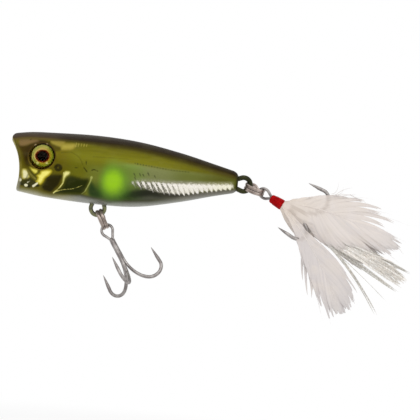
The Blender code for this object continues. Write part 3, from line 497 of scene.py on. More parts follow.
def half_skin(side):
    """One half of the painted body: the outer skin, the mouth cup, the joint face and the hollow behind it."""
    grid, outer = skin_rows()
    grid[:, :, 1] = side * (grid[:, :, 1] + SEAM)
    grid = moulded(grid, outer, side)
    edge_top, edge_low = grid[:, :1].copy(), grid[:, -1:].copy()
    edge_top[:, :, 1] = edge_low[:, :, 1] = side * JOINT_FACE
    grid = np.concatenate((edge_top, grid, edge_low), axis=1)
    verts = list(grid.reshape(-1, 3))
    index = np.arange(len(verts)).reshape(grid.shape[:2])
    faces = grid_quads(index).tolist()
    floor, heel = len(verts), len(verts) + 1
    verts += [grid[row].mean(axis=0) * (1, 0, 1) + (0, side * JOINT_FACE, 0) for row in (0, -1)]
    faces += [(floor, b, a) for a, b in zip(index[0], index[0][1:])]
    faces += [(heel, a, b) for a, b in zip(index[-1], index[-1][1:])]
    rim = [floor, *index[:, 0], heel, *index[::-1, -1]]

    # The hollow, one wall inside the skin
    first, outline = len(verts), list(zip(*half_round(HOLLOW_AROUND)))
    half_height, half_width, middle = section(HOLLOW_X)
    for h, w, m, x in zip(half_height - WALL, half_width - WALL, middle, HOLLOW_X):
        verts += [np.array((x, side * (JOINT_FACE + w * a), m + h * b)) for a, b in outline]
    inner = np.arange(first, len(verts)).reshape(len(HOLLOW_X), HOLLOW_AROUND)
    faces += grid_quads(inner)[:, [0, 3, 2, 1]].tolist()
    faces += [tuple(inner[0]), tuple(inner[-1][::-1])]
    hole = [*inner[:, 0], *inner[::-1, -1]]
    loops = [[Vector((verts[i][0], verts[i][2], 0)) for i in loop] for loop in (rim, hole)]
    both = [*rim, *hole]
    faces += [tuple(both[i] for i in corner) for corner in tessellate_polygon(loops)]
    return plain_mesh("half_skin", np.array(verts) * MM, faces, WELD)


def eye_place(side):
    """On the flank at the eye's middle, Z along the outward normal."""
    step = 0.1
    slope_x = (flank(EYE_X + step, EYE_Z) - flank(EYE_X - step, EYE_Z)) / (2 * step)
    slope_z = (flank(EYE_X, EYE_Z + step) - flank(EYE_X, EYE_Z - step)) / (2 * step)
    out = Vector((-slope_x, side, -slope_z)).normalized()
    turn = Vector((0, 0, 1)).rotation_difference(out).to_matrix().to_4x4()
    spot_mm = Vector((EYE_X, side * (SEAM + float(flank(EYE_X, EYE_Z))), EYE_Z))
    return Matrix.Translation(spot_mm * MM) @ turn


def turned(profile, sides, matrix):
    """A profile of (radius, height) points in millimetres, turned about its own Z and put in place."""
    bm = bmesh.new()
    rings = []
    turns = [TURN * i / sides for i in range(sides)]
    for radius, height in profile:
        if radius == 0:
            rings.append([bm.verts.new((0, 0, height * MM))] * sides)
        else:
            places = [(radius * MM * math.cos(a), radius * MM * math.sin(a), height * MM) for a in turns]
            rings.append([bm.verts.new(place) for place in places])
    for first, second in zip(rings, rings[1:]):
        for i in range(sides):
            k = (i + 1) % sides
            bm.faces.new(list(dict.fromkeys((first[i], second[i], second[k], first[k]))))
    bmesh.ops.recalc_face_normals(bm, faces=bm.faces)
    bm.transform(matrix)
    mesh = bpy.data.meshes.new("turned")
    bm.to_mesh(mesh)
    bm.free()
    return smoothed(mesh)


def cut(mesh, cutter):
    """The mesh with the cutter taken out of it."""
    pair = [bpy.data.objects.new(n, m) for n, m in (("cut_holder", mesh), ("cut_tool", cutter))]
    for obj in pair:
        bpy.context.scene.collection.objects.link(obj)
    modifier = pair[0].modifiers.new("cut", "BOOLEAN")
    modifier.operation, modifier.object, modifier.solver = "DIFFERENCE", pair[1], "EXACT"
    made = evaluated(pair[0])
    for obj in pair:
        bpy.data.objects.remove(obj, do_unlink=True)
    return smoothed(made)


# Wires, threads and barbs: a node tree that sweeps a round or flattened section along drawn lines


def sweep_tree():
    tree = bpy.data.node_groups.new("drawn_wire", "GeometryNodeTree")
    new_socket, sizes = tree.interface.new_socket, {}
    kinds = {"Geometry": "Geometry", "Diameter": "Float", "Flatness": "Float", "Sides": "Int", "Finish": "Material"}
    for name, kind in kinds.items():
        sizes[name] = new_socket(name, in_out="INPUT", socket_type=f"NodeSocket{kind}").identifier
    new_socket("Geometry", in_out="OUTPUT", socket_type="NodeSocketGeometry")
    board = Board(tree)
    given = {name: board.add("NodeGroupInput", {}, {}, name) for name in kinds}
    named = "GeometryNodeInputNamedAttribute"
    facing = board.add(named, {"data_type": "FLOAT_VECTOR"}, {"Name": "facing"}, "Attribute")
    girth = board.add(named, {"data_type": "FLOAT"}, {"Name": "girth"}, "Attribute")
    line = board.add("GeometryNodeMeshToCurve", {}, {"Mesh": given["Geometry"]})
    line = board.add("GeometryNodeSetCurveNormal", {"mode": "FREE"}, {"Curve": line, "Normal": facing})
    round_of = {"Radius": given["Diameter"] * 0.5, "Resolution": given["Sides"]}
    circle = board.add("GeometryNodeCurvePrimitiveCircle", {}, round_of, "Curve")
    squeezed = board.add("ShaderNodeCombineXYZ", {}, {"X": 1.0, "Y": given["Flatness"], "Z": 1.0})
    circle = board.add("GeometryNodeTransform", {}, {"Geometry": circle, "Scale": squeezed})
    drawn = {"Curve": line, "Profile Curve": circle, "Scale": girth, "Fill Caps": True}
    wire = board.add("GeometryNodeCurveToMesh", {}, drawn)
    wire = board.add("GeometryNodeSetShadeSmooth", {}, {"Geometry": wire})
    wire = board.add("GeometryNodeRealizeInstances", {}, {"Geometry": wire})
    wire = board.add("GeometryNodeSetMaterial", {}, {"Geometry": wire, "Material": given["Finish"]})
    board.add("NodeGroupOutput", {}, {"Geometry": wire})
    return tree, sizes


SWEEP, SWEEP_SIZES = sweep_tree()


def facings(points, facing=None):
    """Across each point of a line: towards the facing, or carried along without twist."""
    ahead = unit(np.gradient(points, axis=0))
    if facing is not None:
        across = np.broadcast_to(facing, points.shape)
        return unit(across - ahead * (across * ahead).sum(axis=1, keepdims=True))
    guess = np.eye(3)[np.argmin(np.abs(ahead[0]))]
    across = np.empty_like(points)
    for i, a in enumerate(ahead):
        guess = guess - a * (guess @ a)
        guess = guess / np.linalg.norm(guess)
        across[i] = guess
    return across


def swept(lines, diameter, sides, finish, flatness=1.0, place=Matrix.Identity(4)):
    """Lines in millimetres, each with its points, girth shares, facings and stored values, swept into one mesh."""
    verts, edges, girths, faces_to, stored = [], [], [], [], {}
    for line in lines:
        points = np.asarray(line["points"], float)
        first, count = len(verts), len(points)
        verts += list(points)
        edges += [(first + i, first + i + 1) for i in range(count - 1)]
        if line.get("closed"):
            edges.append((first + count - 1, first))
        girths += list(np.broadcast_to(line.get("girth", 1.0), count))
        faces_to += list(line["across"] if "across" in line else facings(points, line.get("facing")))
        for name, values in line.get("store", {}).items():
            stored.setdefault(name, []).extend(np.broadcast_to(values, count))
    mesh = bpy.data.meshes.new("drawn_lines")
    mesh.from_pydata([place @ (Vector(v) * MM) for v in verts], edges, [])
    store(mesh, {"girth": girths, **stored})
    spread = place.to_3x3()
    turned_to = np.array([spread @ Vector(v) for v in faces_to], np.float32)
    mesh.attributes.new("facing", "FLOAT_VECTOR", "POINT").data.foreach_set("vector", turned_to.ravel())
    holder = bpy.data.objects.new("drawn_lines", mesh)
    modifier = holder.modifiers.new("sweep", "NODES")
    modifier.node_group = SWEEP
    given = {"Diameter": diameter * MM, "Flatness": flatness, "Sides": sides, "Finish": finish.material}
    for name, value in given.items():
        modifier[SWEEP_SIZES[name]] = value
    bpy.context.scene.collection.objects.link(holder)
    made = evaluated(holder)
    holder.modifiers.remove(modifier)
    bpy.data.objects.remove(holder, do_unlink=True)
    for name in ("facing", "girth"):
        if name in made.attributes:
            made.attributes.remove(made.attributes[name])
    return made


def joined(*meshes):
    bm = bmesh.new()
    for mesh in meshes:
        bm.from_mesh(mesh)
    made = bpy.data.meshes.new("joined")
    bm.to_mesh(made)
    bm.free()
    return smoothed(made)


# Finishes

FINE_BUMP, SKIN_BUMP = 0.00002, 0.00006

# Colour laid on the head in order: shape, the field where it starts and where it is full, tint and strength. Much of it
# is painted light on the chromed relief: the dark patches on the nose, above the eye, over the gill and below the eye
# are painted shade and dark reflection, the shines are painted light reflections, the crease is painted shade in its
# groove, and the fin ray, the gill cover's edge and the ridge with its flare are painted highlights along raised edges.
# A second row of a shape is its lighter or darker heart.
HEAD_FILM = (
    ("snout", -1.1, 0.9, (50, 37, 2), 0.95), ("brow", -0.9, 0.5, (46, 33, 2), 0.88),
    ("behind_eye", -0.6, 0.4, (66, 58, 6), 0.85), ("pink", -0.5, 0.5, (108, 86, 52), 0.92),
    ("gold_fore", -0.4, 0.4, (134, 120, 48), 0.9), ("gold", -0.4, 0.3, (128, 116, 40), 0.9),
    ("gold", 0.0, 0.9, (148, 136, 55), 0.8), ("ticks", -0.14, 0.08, (142, 132, 55), 0.75),
    ("gill_arc", -0.14, 0.14, (74, 70, 9), 0.55), ("gill_shade", -0.6, 0.4, (62, 64, 10), 0.9),
    ("gill_shade", -0.1, 0.9, (35, 41, 3), 0.98), ("cheek", -0.6, 0.4, (74, 67, 10), 0.95),
    ("cheek", -0.1, 0.7, (37, 32, 3), 0.97), ("lip_shine", -0.45, 0.2, (192, 182, 84), 0.9),
    ("lip_shine", 0.0, 0.55, (236, 231, 180), 0.95), ("blot", -0.4, 0.4, (57, 55, 20), 0.95),
    ("darks", -0.25, 0.25, (36, 35, 5), 0.85), ("crease", -0.3, 0.25, (90, 84, 16), 0.9),
    ("crease", 0.05, 0.5, (48, 44, 6), 0.85), ("jaw_shine", -0.3, 0.15, (172, 160, 44), 0.9),
    ("jaw_shine", 0.05, 0.4, (230, 220, 100), 0.8), ("plate_shine", -0.4, 0.25, (188, 172, 38), 0.95),
    ("plate_shine", 0.05, 0.7, (250, 240, 124), 0.95), ("spots", -0.16, 0.14, (242, 238, 200), 0.95),
    ("furrows", -0.2, 0.2, (56, 52, 9), 0.55), ("ray", -0.10, 0.06, (196, 188, 96), 0.85),
    ("cover", -0.16, 0.12, (166, 172, 92), 0.85), ("ridge", -0.14, 0.10, (222, 217, 128), 0.95),
    ("ridge_flare", -0.35, 0.3, (168, 166, 74), 0.85), ("ridge_flare", -0.05, 0.5, (238, 232, 152), 0.95),
    ("pore", -0.3, 0.15, (38, 33, 2), 0.95), ("flecks", -0.14, 0.08, (44, 42, 5), 0.85),
    ("rear_ticks", -0.14, 0.08, (64, 70, 40), 0.8), ("upper_line", -0.12, 0.1, (76, 74, 12), 0.5),
)


class Skin(Finish):
    """Olive and green over chrome, with many of the chrome's reflections, highlights and shade painted into the colour;
    a matt back, a silver ribbed flank and a pale belly.
    """

    def __init__(self):
        super().__init__("chromed_skin", IOR=1.45, Specular_IOR_Level=0.05, Coat_Roughness=0.08)
        place = self.place()
        self.wobble = self.grain(place, 900.0, 3.0, 0.6) - 0.5
        self.freckle = self.grain(place, 4200.0, 2.0, 0.6)
        self.cloud = self.grain(self.stretched((1.0, 1.0, 2.2)), 260.0, 3.0, 0.55)
        self.along, self.height, self.back = (self.field(name) for name in ("along", "height", "back"))
        self.lay_flank()
        self.lay_shade()
        self.lay_silver(place)
        self.lay_belly()
        self.lay_green()
        self.lay_head()
        self.lay_back()
        self.set(
            Base_Color=self.colour,
            Metallic=0.62 - 0.62 * self.backed - 0.25 * self.pale + 0.3 * self.rib_highlight,
            Roughness=0.30 + 0.28 * self.backed + 0.12 * (self.freckle - 0.5) - 0.06 * self.rib_highlight,
            Coat_Weight=0.05 - 0.04 * self.backed,
            Normal=self.relief(0.5 * self.ribs + 0.12 * self.freckle + 0.25 * self.cloud, SKIN_BUMP, 0.6),
        )

    def lay_flank(self):
        """Olive gold, greener and greyer behind and below, with painted dark reflection below the middle line behind
        the gill cover.
        """
        along, height, ease, coat = self.along, self.height, self.ease, self.coat
        streak = self.grain(self.stretched((0.12, 1.0, 1.0)), 1500.0, 3.0, 0.6)
        rear = ease(along, 23.0, 34.0)
        low = ease(2.9 - height + (along - 33.0) * -0.04, -0.3, 1.3)
        self.colour = self.blend(ease(self.back, -4.6, -2.2), (101, 100, 16), (87, 84, 10))
        coat(ease(streak, 0.35, 0.7) * 0.3, (109, 105, 20))
        coat(ease(14.5 - along, 0.0, 5.0) * 0.75, (92, 81, 5))
        coat(low * rear * 0.9, (122, 128, 80))
        coat(low * rear * ease(self.freckle, 0.50, 0.66) * 0.4, (94, 102, 58))
        coat(low * ease(along, 26.0, 29.0) * (1.0 - ease(along, 30.0, 36.0)) * 0.7, (108, 134, 54))
        coat(ease(along, 38.0, 46.0) * low * 0.85, (98, 104, 42))
        coat(ease(along, 46.0, 56.0) * 0.8, (82, 81, 19))
        coat(ease(along, 56.0, 59.0) * 0.6, (84, 88, 26))
        coat(ease(along, 15.5, 20.0) * ease(2.5 - height, 0.0, 2.5) * (1.0 - rear) * 0.75, (110, 118, 44))
        # Painted dark reflection below the middle line behind the gill cover, green in front and grey behind.
        under = self.blend(ease(along, 28.0, 36.0), (58, 80, 28), (74, 75, 62))
        coat(ease(-1.8 - height, 0.0, 4.2) * ease(along, 17.5, 19.5), under)

    def lay_shade(self):
        """The dark reflection above the belly."""
        shade = self.field("under_shade") + self.wobble * 0.6
        deep = self.blend(self.ease(self.along, 26.0, 35.0), (40, 60, 24), (36, 38, 27))
        deep = self.blend(self.ease(self.along, 36.0, 43.0), deep, (60, 57, 51))
        deep = self.blend(self.ease(self.along, 43.0, 51.0), deep, (104, 99, 92))
        self.coat(self.ease(shade, -0.8, 0.6) * 0.95, deep)

    def lay_silver(self, place):
        """Ribbed silver foil whose ribs are painted reflection: light slashes that lean back, parted below and run
        together at the top and the tail, dark between them at the front, with painted glints and specks above.
        """
        along, wobble, freckle = self.along, self.wobble, self.freckle
        ease, blend, coat = self.ease, self.blend, self.coat
        top, bottom = self.field("silver_top"), self.field("silver_low")
        jitter = self.grain(self.stretched((1.0, 1.0, 0.35)), 620.0, 2.0, 0.6) - 0.5
        lean = 0.66 - 0.006 * (along - 30.0)
        step = along - lean * top - 30.0 + jitter * 0.75
        wave = self.sine(step * (0.665 + step * 0.0013) * TURN + wobble * 0.9)
        tailward = ease(along, 37.0, 46.0)
        within = ease(along + wobble * 4.0, 29.6, 33.2) * (1.0 - ease(along + wobble, 58.0, 59.3))
        halo = ease(top, -1.5, 0.0) * ease(bottom, -0.3, 0.3) * within
        # A paler haze round the band, where the painted glints and specks lie.
        coat(halo * (0.3 + 0.4 * tailward), blend(ease(along, 46.0, 56.0), (148, 143, 128), (166, 164, 118)))
        inside = ease(top + wobble * 0.7 + wave * 0.12, -0.35, 0.25) * within
        silver = inside * ease(bottom + wave * 0.4 + jitter * 1.0, -0.35, 0.35)
        ragged = jitter * 1.1 + (freckle - 0.5) * 1.4
        parted = wave + 0.75 - 0.8 * (1.0 - ease(along, 31.0, 39.0)) + 0.85 * tailward - 0.72 * top
        # Between the ribs: painted dark reflection at the front, greying to pale foil towards the tail.
        coat(silver * 0.85, blend(tailward, (54, 53, 41), (212, 206, 196)))
        # The ribs themselves: painted light reflection on the ribbed foil.
        self.rib_highlight = rib_highlight = silver * ease(parted + ragged, -0.4, 0.4)
        coat(rib_highlight, blend(ease(along, 50.0, 57.0), (250, 245, 237), (250, 247, 222)))
        # Painted sparkle over the haze: pale and dark specks, then glints.
        sparkle_grain = self.grain(place, 5600.0, 2.0, 0.7)
        coat(ease(sparkle_grain, 0.50, 0.62) * halo * (1.0 - rib_highlight) * 0.45, (206, 202, 180))
        coat(ease(0.5 - sparkle_grain, 0.04, 0.14) * halo * (0.35 + 0.2 * rib_highlight) * (1.0 - 0.5 * tailward), (84, 84, 58))
        coat(ease(freckle + 0.14 * halo + 0.05 * tailward, 0.68, 0.76) * halo * 0.85, (236, 232, 214))
        self.ribs = wave * silver

    def lay_belly(self):
        along, ease, blend = self.along, self.ease, self.blend
        sunk = ease(self.field("belly"), 0.1, 1.5)
        grey = blend(sunk, blend(ease(along, 36.0, 46.0), (70, 72, 50), (116, 113, 104)), (146, 147, 139))
        grey = blend(ease(17.0 - along, 0.0, 8.0) * 0.8, grey, blend(sunk, (124, 118, 56), (168, 164, 128)))
        self.pale = ease(self.field("belly") + self.wobble * 0.3, -0.45, 0.5)
        self.coat(self.pale, grey)

    def lay_green(self):
        """The sprayed green spot behind the gill cover."""
        ease, coat = self.ease, self.coat
        green = self.field("green") + self.wobble * 0.5
        coat((1.0 - ease(green, 2.2, 6.6)) * ease(self.along, 19.5, 23.5) * 0.7, (98, 140, 48))
        coat(1.0 - ease(green, 1.5, 4.8), (118, 160, 40))
        coat(1.0 - ease(green, 0.8, 3.6), (150, 200, 32))
        coat(ease(self.freckle, 0.62, 0.72) * (1.0 - ease(green, 1.0, 3.4)) * 0.35, (122, 160, 28))

    def lay_head(self):
        """The patches on the head, many of them painted reflections, highlights and shade; the beaded line; the rim of
        the eye's socket with its painted rim light, shadow and gleams; and the lip.
        """
        along, height, wobble = self.along, self.height, self.wobble
        field, ease, blend, coat = self.field, self.ease, self.blend, self.coat
        # The head's patches, many of them painted reflections, highlights and shade.
        for name, start, full, tint, strength in HEAD_FILM:
            coat(ease(field(name) + wobble * 0.34, start, full) * strength, tint)
        beads = ease(self.sine(along * (TURN / 0.8)), -0.4, 0.4)
        coat(ease(field("dots") + wobble * 0.3, -0.14, 0.1) * beads * 0.8, (54, 62, 24))
        # The socket's rim: a painted rim light below, darkening to painted shadow above; then the socket wall painted
        # in shadow, brown towards the nose and nearly black behind.
        ring = field("socket")
        coat(ease(ring, -0.4, -0.05) * 0.8, blend(ease(height, 0.4, 3.2), (112, 92, 26), (58, 42, 8)))
        coat(ease(ring, -0.02, 0.14), blend(ease(along, 2.6, 4.6), (54, 40, 9), (22, 15, 3)))
        # Painted highlights on the socket's rim above the eye.
        coat(ease(field("brow_gleam"), -0.2, 0.3) * 0.8, (166, 148, 110))
        gilt = blend(ease(1.6 - height, 0.0, 2.4), (84, 76, 36), (132, 122, 52))
        lip = blend(ease(-3.2 - height, 0.0, 1.6), gilt, (150, 148, 132))
        coat(ease(field("lip") + wobble * 0.3, -0.2, 0.6) * 0.7, lip)

    def lay_back(self):
        """The matt back, where olive darkens to a brown line, then greys and lightens to the top as a painted
        highlight; a painted shade on the tail's end; and the cup.
        """
        along, back = self.along, self.back
        ease, blend, coat = self.ease, self.blend, self.coat
        band = back * (1.7 - 0.7 * ease(along, 12.0, 24.0))
        rear = ease(along, 4.0, 13.0)
        coat(ease(band, -2.4, -0.8), blend(rear, (92, 78, 34), (62, 54, 14)))
        coat(ease(band, -1.0, -0.1), blend(rear, (70, 54, 26), (42, 32, 10)))
        # The matt paint, lighter to the front, and lighter again towards the top edge as a painted highlight.
        rear = ease(along, 3.0, 15.0)
        matt = blend(rear, (70, 58, 44), (44, 36, 25))
        matt = blend(ease(back, 0.2, 0.9), matt, blend(rear, (70, 62, 54), (57, 51, 45)))
        matt = blend(ease(back, 0.8, 1.6), matt, (76, 71, 67))
        matt = blend(ease(self.freckle, 0.5, 0.7) * 0.2, matt, (86, 79, 72))
        self.backed = ease(back + self.wobble * 0.25, -0.35, 0.3)
        coat(self.backed, matt)
        # Painted shade on the rounded end of the tail.
        coat(ease(along, 59.2, 59.8) * 0.8, (40, 40, 12))
        cup = ease(self.field("cup"), -0.01, 0.02)
        coat(cup, blend(ease(self.cloud, 0.3, 0.7), (150, 140, 62), (110, 102, 36)))
        coat(ease(self.cloud, 0.42, 0.72) * 0.05, (140, 138, 84))


def wire_finish(name, light, dark, rough, scratch=900.0, metal=1.0, gloss=2.2, stain=None):
    """Drawn and formed steel: fine scratches along it, a duller tone in places."""
    steel = Finish(name, IOR=gloss)
    place = steel.place()
    cloud = steel.grain(place, 420.0, 3.0, 0.6)
    fine = steel.grain(place, scratch * 6, 2.0, 0.7)
    steel.colour = steel.blend(steel.ease(cloud, 0.34, 0.66), light, dark)
    if stain:
        steel.coat(steel.ease(steel.grain(place, 760.0, 4.0, 0.65), 0.55, 0.70) * 0.45, stain)
    steel.coat(steel.ease(fine, 0.55, 0.75) * 0.12, dark)
    steel.set(
        Base_Color=steel.colour,
        Metallic=metal - 0.15 * steel.ease(cloud, 0.5, 0.8),
        Roughness=rough + 0.12 * (fine - 0.4) + 0.1 * cloud,
        Normal=steel.relief(fine, FINE_BUMP, 0.15),
    )
    return steel


def iris_finish():
    """Printed foil: black pupil, a red rim, a yellow iris that greens to its edge, a dark edge that is painted shadow
    of the socket, and two painted gleams.
    """
    foil = Finish("iris_foil", IOR=1.5, Specular_IOR_Level=0.0)
    field, ease, blend, coat = foil.field, foil.ease, foil.blend, foil.coat
    out, aside, low = (field(name) for name in ("out", "aside", "low"))
    wobble = (foil.grain(foil.place(), 2600.0, 3.0, 0.6) - 0.5) * 0.06
    rayed = foil.add("ShaderNodeCombineXYZ", {}, {0: field("turn") * 6.0, 1: out * 1.2})
    rays = foil.grain(rayed, 6.0, 3.0, 0.6)
    at, core = out + wobble, field("core") + wobble
    pale, edge = ease(aside - 0.9 * low, -1.2, 2.4), ease(at, 0.66, 0.98)
    near, far = blend(edge, (132, 122, 24), (88, 100, 18)), blend(edge, (168, 150, 78), (140, 140, 70))
    foil.colour = blend(pale, near, far)
    coat(ease(rays, 0.4, 0.7) * 0.25, (136, 130, 48))
    coat(ease(rays, 0.55, 0.75) * ease(at, 0.7, 0.9) * 0.4, (92, 110, 26))
    coat((1.0 - ease(core, 0.60, 0.72)) * 0.8, blend(pale, (152, 112, 40), (192, 158, 92)))
    coat(1.0 - ease(core, 0.56, 0.63), (76, 18, 4))
    coat(1.0 - ease(core, 0.41, 0.52), (20, 17, 14))
    # The disc's edge painted as the socket's shadow: black behind, browner towards the nose and below.
    rim_shadow = blend(ease(aside, 0.4, 2.6), (24, 17, 2), (50, 38, 4))
    rim_shadow = blend(ease(low, 1.2, 2.9), rim_shadow, (44, 31, 3))
    coat(ease(at - 0.05 * pale, 0.95, 1.01), rim_shadow)
    # Two painted gleams low on the iris, reflections seen in the lens.
    coat(ease(field("gleam") + wobble * 2.0, -0.25, 0.2) * 0.75, (190, 184, 118))
    foil.set(
        Base_Color=foil.colour,
        Metallic=0.3 * ease(core, 0.6, 0.7),
        Roughness=0.32 + 0.2 * rays,
        Normal=foil.relief(rays, FINE_BUMP, 0.4),
    )
    return foil


def lens_finish():
    """Clear domed resin with faint surface marks."""
    lens = Finish("clear_resin", IOR=1.03, Transmission_Weight=1.0)
    marks = lens.grain(lens.place(), 1800.0, 3.0, 0.6)
    tone = lens.blend(lens.ease(marks, 0.45, 0.8), (1.0, 1.0, 0.98, 1.0), (0.95, 0.96, 0.90, 1.0))
    lens.set(Base_Color=tone, Roughness=0.015 + 0.05 * lens.ease(marks, 0.55, 0.8))
    return lens


def thread_finish():
    """Red waxed silk: plies that spiral round the thread."""
    silk = Finish("red_silk", IOR=1.45, Specular_IOR_Level=0.1)
    plies = silk.sine(silk.field("along") * 900.0)
    cloud = silk.grain(silk.place(), 1500.0, 3.0, 0.6)
    silk.colour = silk.blend(silk.ease(cloud, 0.35, 0.65), (176, 2, 5), (146, 1, 4))
    silk.coat(silk.ease(plies, 0.2, 0.9) * 0.25, (194, 14, 14))
    silk.set(Base_Color=silk.colour, Roughness=0.5 + 0.2 * cloud, Normal=silk.relief(plies, FINE_BUMP, 0.5))
    return silk


def feather_finish():
    """White hackle: smooth zipped barbs, creamy at the root, a little greyer towards the tips, with painted shade where
    a hook wire lies under them.
    """
    down = Finish("white_hackle", IOR=1.4, Specular_IOR_Level=0.3, Sheen_Weight=0.12, Sheen_Roughness=0.5)
    field, ease, coat = down.field, down.ease, down.coat
    reach = field("reach")
    fine = down.grain(down.place(), 3200.0, 2.0, 0.6)
    cloud = down.grain(down.place(), 240.0, 2.0, 0.5)
    down.colour = down.blend(ease(field("tone"), 0.1, 1.0), (230, 221, 215), (210, 203, 201))
    coat(ease(cloud, 0.4, 0.65) * 0.4, (224, 214, 204))
    coat((1.0 - ease(reach, 0.0, 0.4)) * 0.6, (226, 212, 196))
    coat(ease(reach, 0.75, 1.05) * 0.5, (206, 202, 201))
    coat(ease(field("along"), 0.7, 1.0) * 0.3, (204, 200, 199))
    coat(ease(fine, 0.5, 0.75) * 0.2, (234, 228, 224))
    # Painted shade where a hook wire lies under the near barbs, for the wire seen through them and its shadow.
    coat(field("hook_shade") * 0.3, (150, 132, 118))
    down.set(Base_Color=down.colour, Roughness=0.62 + 0.2 * fine, Normal=down.relief(fine, FINE_BUMP, 0.3))
    return down


def tinsel_finish():
    """Pearl foil strands with painted sparkle, darker speckles and pale glints, and painted lighter where they lie
    together to offset the shade among them.
    """
    foil = Finish("pearl_tinsel", IOR=1.6, Specular_IOR_Level=0.4)
    turn = foil.grain(foil.place(), 1900.0, 3.0, 0.7)
    hue = foil.ease(foil.grain(foil.place(), 620.0, 2.0, 0.5), 0.35, 0.65)
    spark = foil.grain(foil.place(), 2700.0, 1.0, 0.5)
    # Strands in the big bundle are painted lighter than lone strands, to offset the shade among them.
    single, mass = foil.blend(hue, (222, 217, 208), (208, 205, 198)), foil.blend(hue, (244, 237, 228), (234, 229, 222))
    foil.colour = foil.blend(foil.field("packed"), single, mass)
    # Painted sparkle: darker speckles and pale glints over the foil.
    foil.coat(foil.ease(turn, 0.50, 0.58) * 0.5, (198, 193, 184))
    foil.coat(foil.ease(spark, 0.59, 0.64) * 0.95, (254, 252, 248))
    foil.set(Base_Color=foil.colour, Metallic=0.08 * turn, Roughness=0.28 + 0.25 * turn)
    return foil


SKIN, IRIS, LENS = Skin(), iris_finish(), lens_finish()
SILK, DOWN, TINSEL = thread_finish(), feather_finish(), tinsel_finish()
HANGER = wire_finish(
    "olive_lacquered_wire", (112, 114, 60), (52, 54, 22), 0.34, metal=0.55, stain=(140, 136, 98))
DARK_HANGER = wire_finish(
    "dark_lacquered_wire", (52, 54, 20), (28, 28, 7), 0.34, metal=0.3, gloss=1.3, stain=(84, 82, 50))
RING = wire_finish(
    "nickelled_spring_wire", (186, 172, 163), (124, 110, 101), 0.26, metal=0.85, stain=(84, 72, 63))
HOOK = wire_finish("tinned_hook_wire", (168, 163, 160), (126, 120, 118), 0.30, stain=(104, 97, 94))
LEAD = wire_finish("cast_ballast", (122, 122, 126), (78, 78, 82), 0.55, 300.0)
BALL = wire_finish("polished_ball", (196, 196, 200), (168, 168, 174), 0.16, 1200.0)
for node, finish in (("ballast_weight", LEAD), ("front_rattle_ball", BALL), ("rear_rattle_ball", BALL)):
    nodes[node].data.materials.clear()
    nodes[node].data.materials.append(finish.material)


# Body and eyes

EYE_SIDES, SOCKET_SIDES, BORE_TOP = 84, 96, 3
DISC_BASE = 0.2 - SOCKET_DEPTH
DISC_FACE = DISC_BASE + 0.5
LENS_REST = DISC_FACE + 0.2
PRINT_OFF = (0.26, 0.08)


def painted_half(side, place):
    bore = [(0, -SOCKET_DEPTH), (SOCKET_RADIUS, -SOCKET_DEPTH), (SOCKET_RADIUS, BORE_TOP), (0, BORE_TOP)]
    skin = cut(half_skin(side), turned(bore, SOCKET_SIDES, place))
    spots_mm = np.empty(len(skin.vertices) * 3)
    skin.vertices.foreach_get("co", spots_mm)
    store(skin, drawn_fields(*(spots_mm.reshape(-1, 3) / MM).T))
    return skin


def printed_iris(place):
    """A disc, with what its print needs: the distance from the print's middle, the pupil's form and two gleams."""
    rings = [(EYE_RADIUS * s, DISC_FACE + 0.03 * (1 - s * s)) for s in np.linspace(0, 0.985, 30)]
    edge = [(EYE_RADIUS, DISC_FACE - 0.05), (EYE_RADIUS, DISC_BASE), (0, DISC_BASE)]
    disc = turned([*rings, *edge], EYE_SIDES, place)
    middle = (EYE_X + PRINT_OFF[0], 0, EYE_Z + PRINT_OFF[1])
    x, _, z = (np.array([v.co for v in disc.vertices]) / MM - middle).T
    store(disc, {
        "out": np.hypot(x, z) / PRINT_RADIUS,
        "core": np.hypot(np.where(x < 0, x / 1.2, x / 1.04), z) / PRINT_RADIUS,
        "aside": -x,
        "turn": np.abs(np.arctan2(z, x)),
        "low": -z,
        "gleam": np.maximum(spot(x, z, (-1.3, -2.1), 0.34, 0.9), spot(x, z, (1.3, -1.9), 0.32, 0.9)),
    })
    return disc


def clear_lens(place):
    dome = [(EYE_RADIUS * math.sin(a), LENS_REST + 0.2 + math.cos(a)) for a in np.linspace(0, QUARTER, 20)]
    return turned([*dome, (EYE_RADIUS, LENS_REST), (0, LENS_REST)], EYE_SIDES, place)


for side, name in ((-1, "left"), (1, "right")):
    place = eye_place(side)
    as_piece(f"{name}_painted_half", painted_half(side, place), SKIN, "lure_body", "shell", f"{name}_shell")
    as_piece(f"{name}_printed_iris", printed_iris(place), IRIS, "lure_body", "eye_foil", f"{name}_eye_disc")
    as_piece(f"{name}_clear_lens", clear_lens(place), LENS, "lure_body", "eye_lens", f"{name}_eye_lens")


# Wires: hangers, split rings and treble hooks

HANGER_WIRE, LOOP_RADIUS, TIE_RADIUS, INNER_RADIUS, NECK, INNER_NECK = 1.0, 1.95, 1.6, 1.5, 4.0, 2.6
HANGER_GAP, RING_PLAY = 0.15, 0.15
BELLY_LOOP, TAIL_LOOP = Vector((LIP_X + 26.1, 0, -10.636)), Vector((TAIL_X + 1.6, 0, 0))


def eye_arc(radius, neck, half_gap, steps):
    """A teardrop eye about the origin, opening towards +X."""
    opening = math.atan2(half_gap, neck) + math.acos(radius / math.hypot(neck, half_gap))
    angles = np.linspace(opening, TURN - opening, steps + 1)
    return np.stack((radius * np.cos(angles), 0 * angles, radius * np.sin(angles)), axis=1)


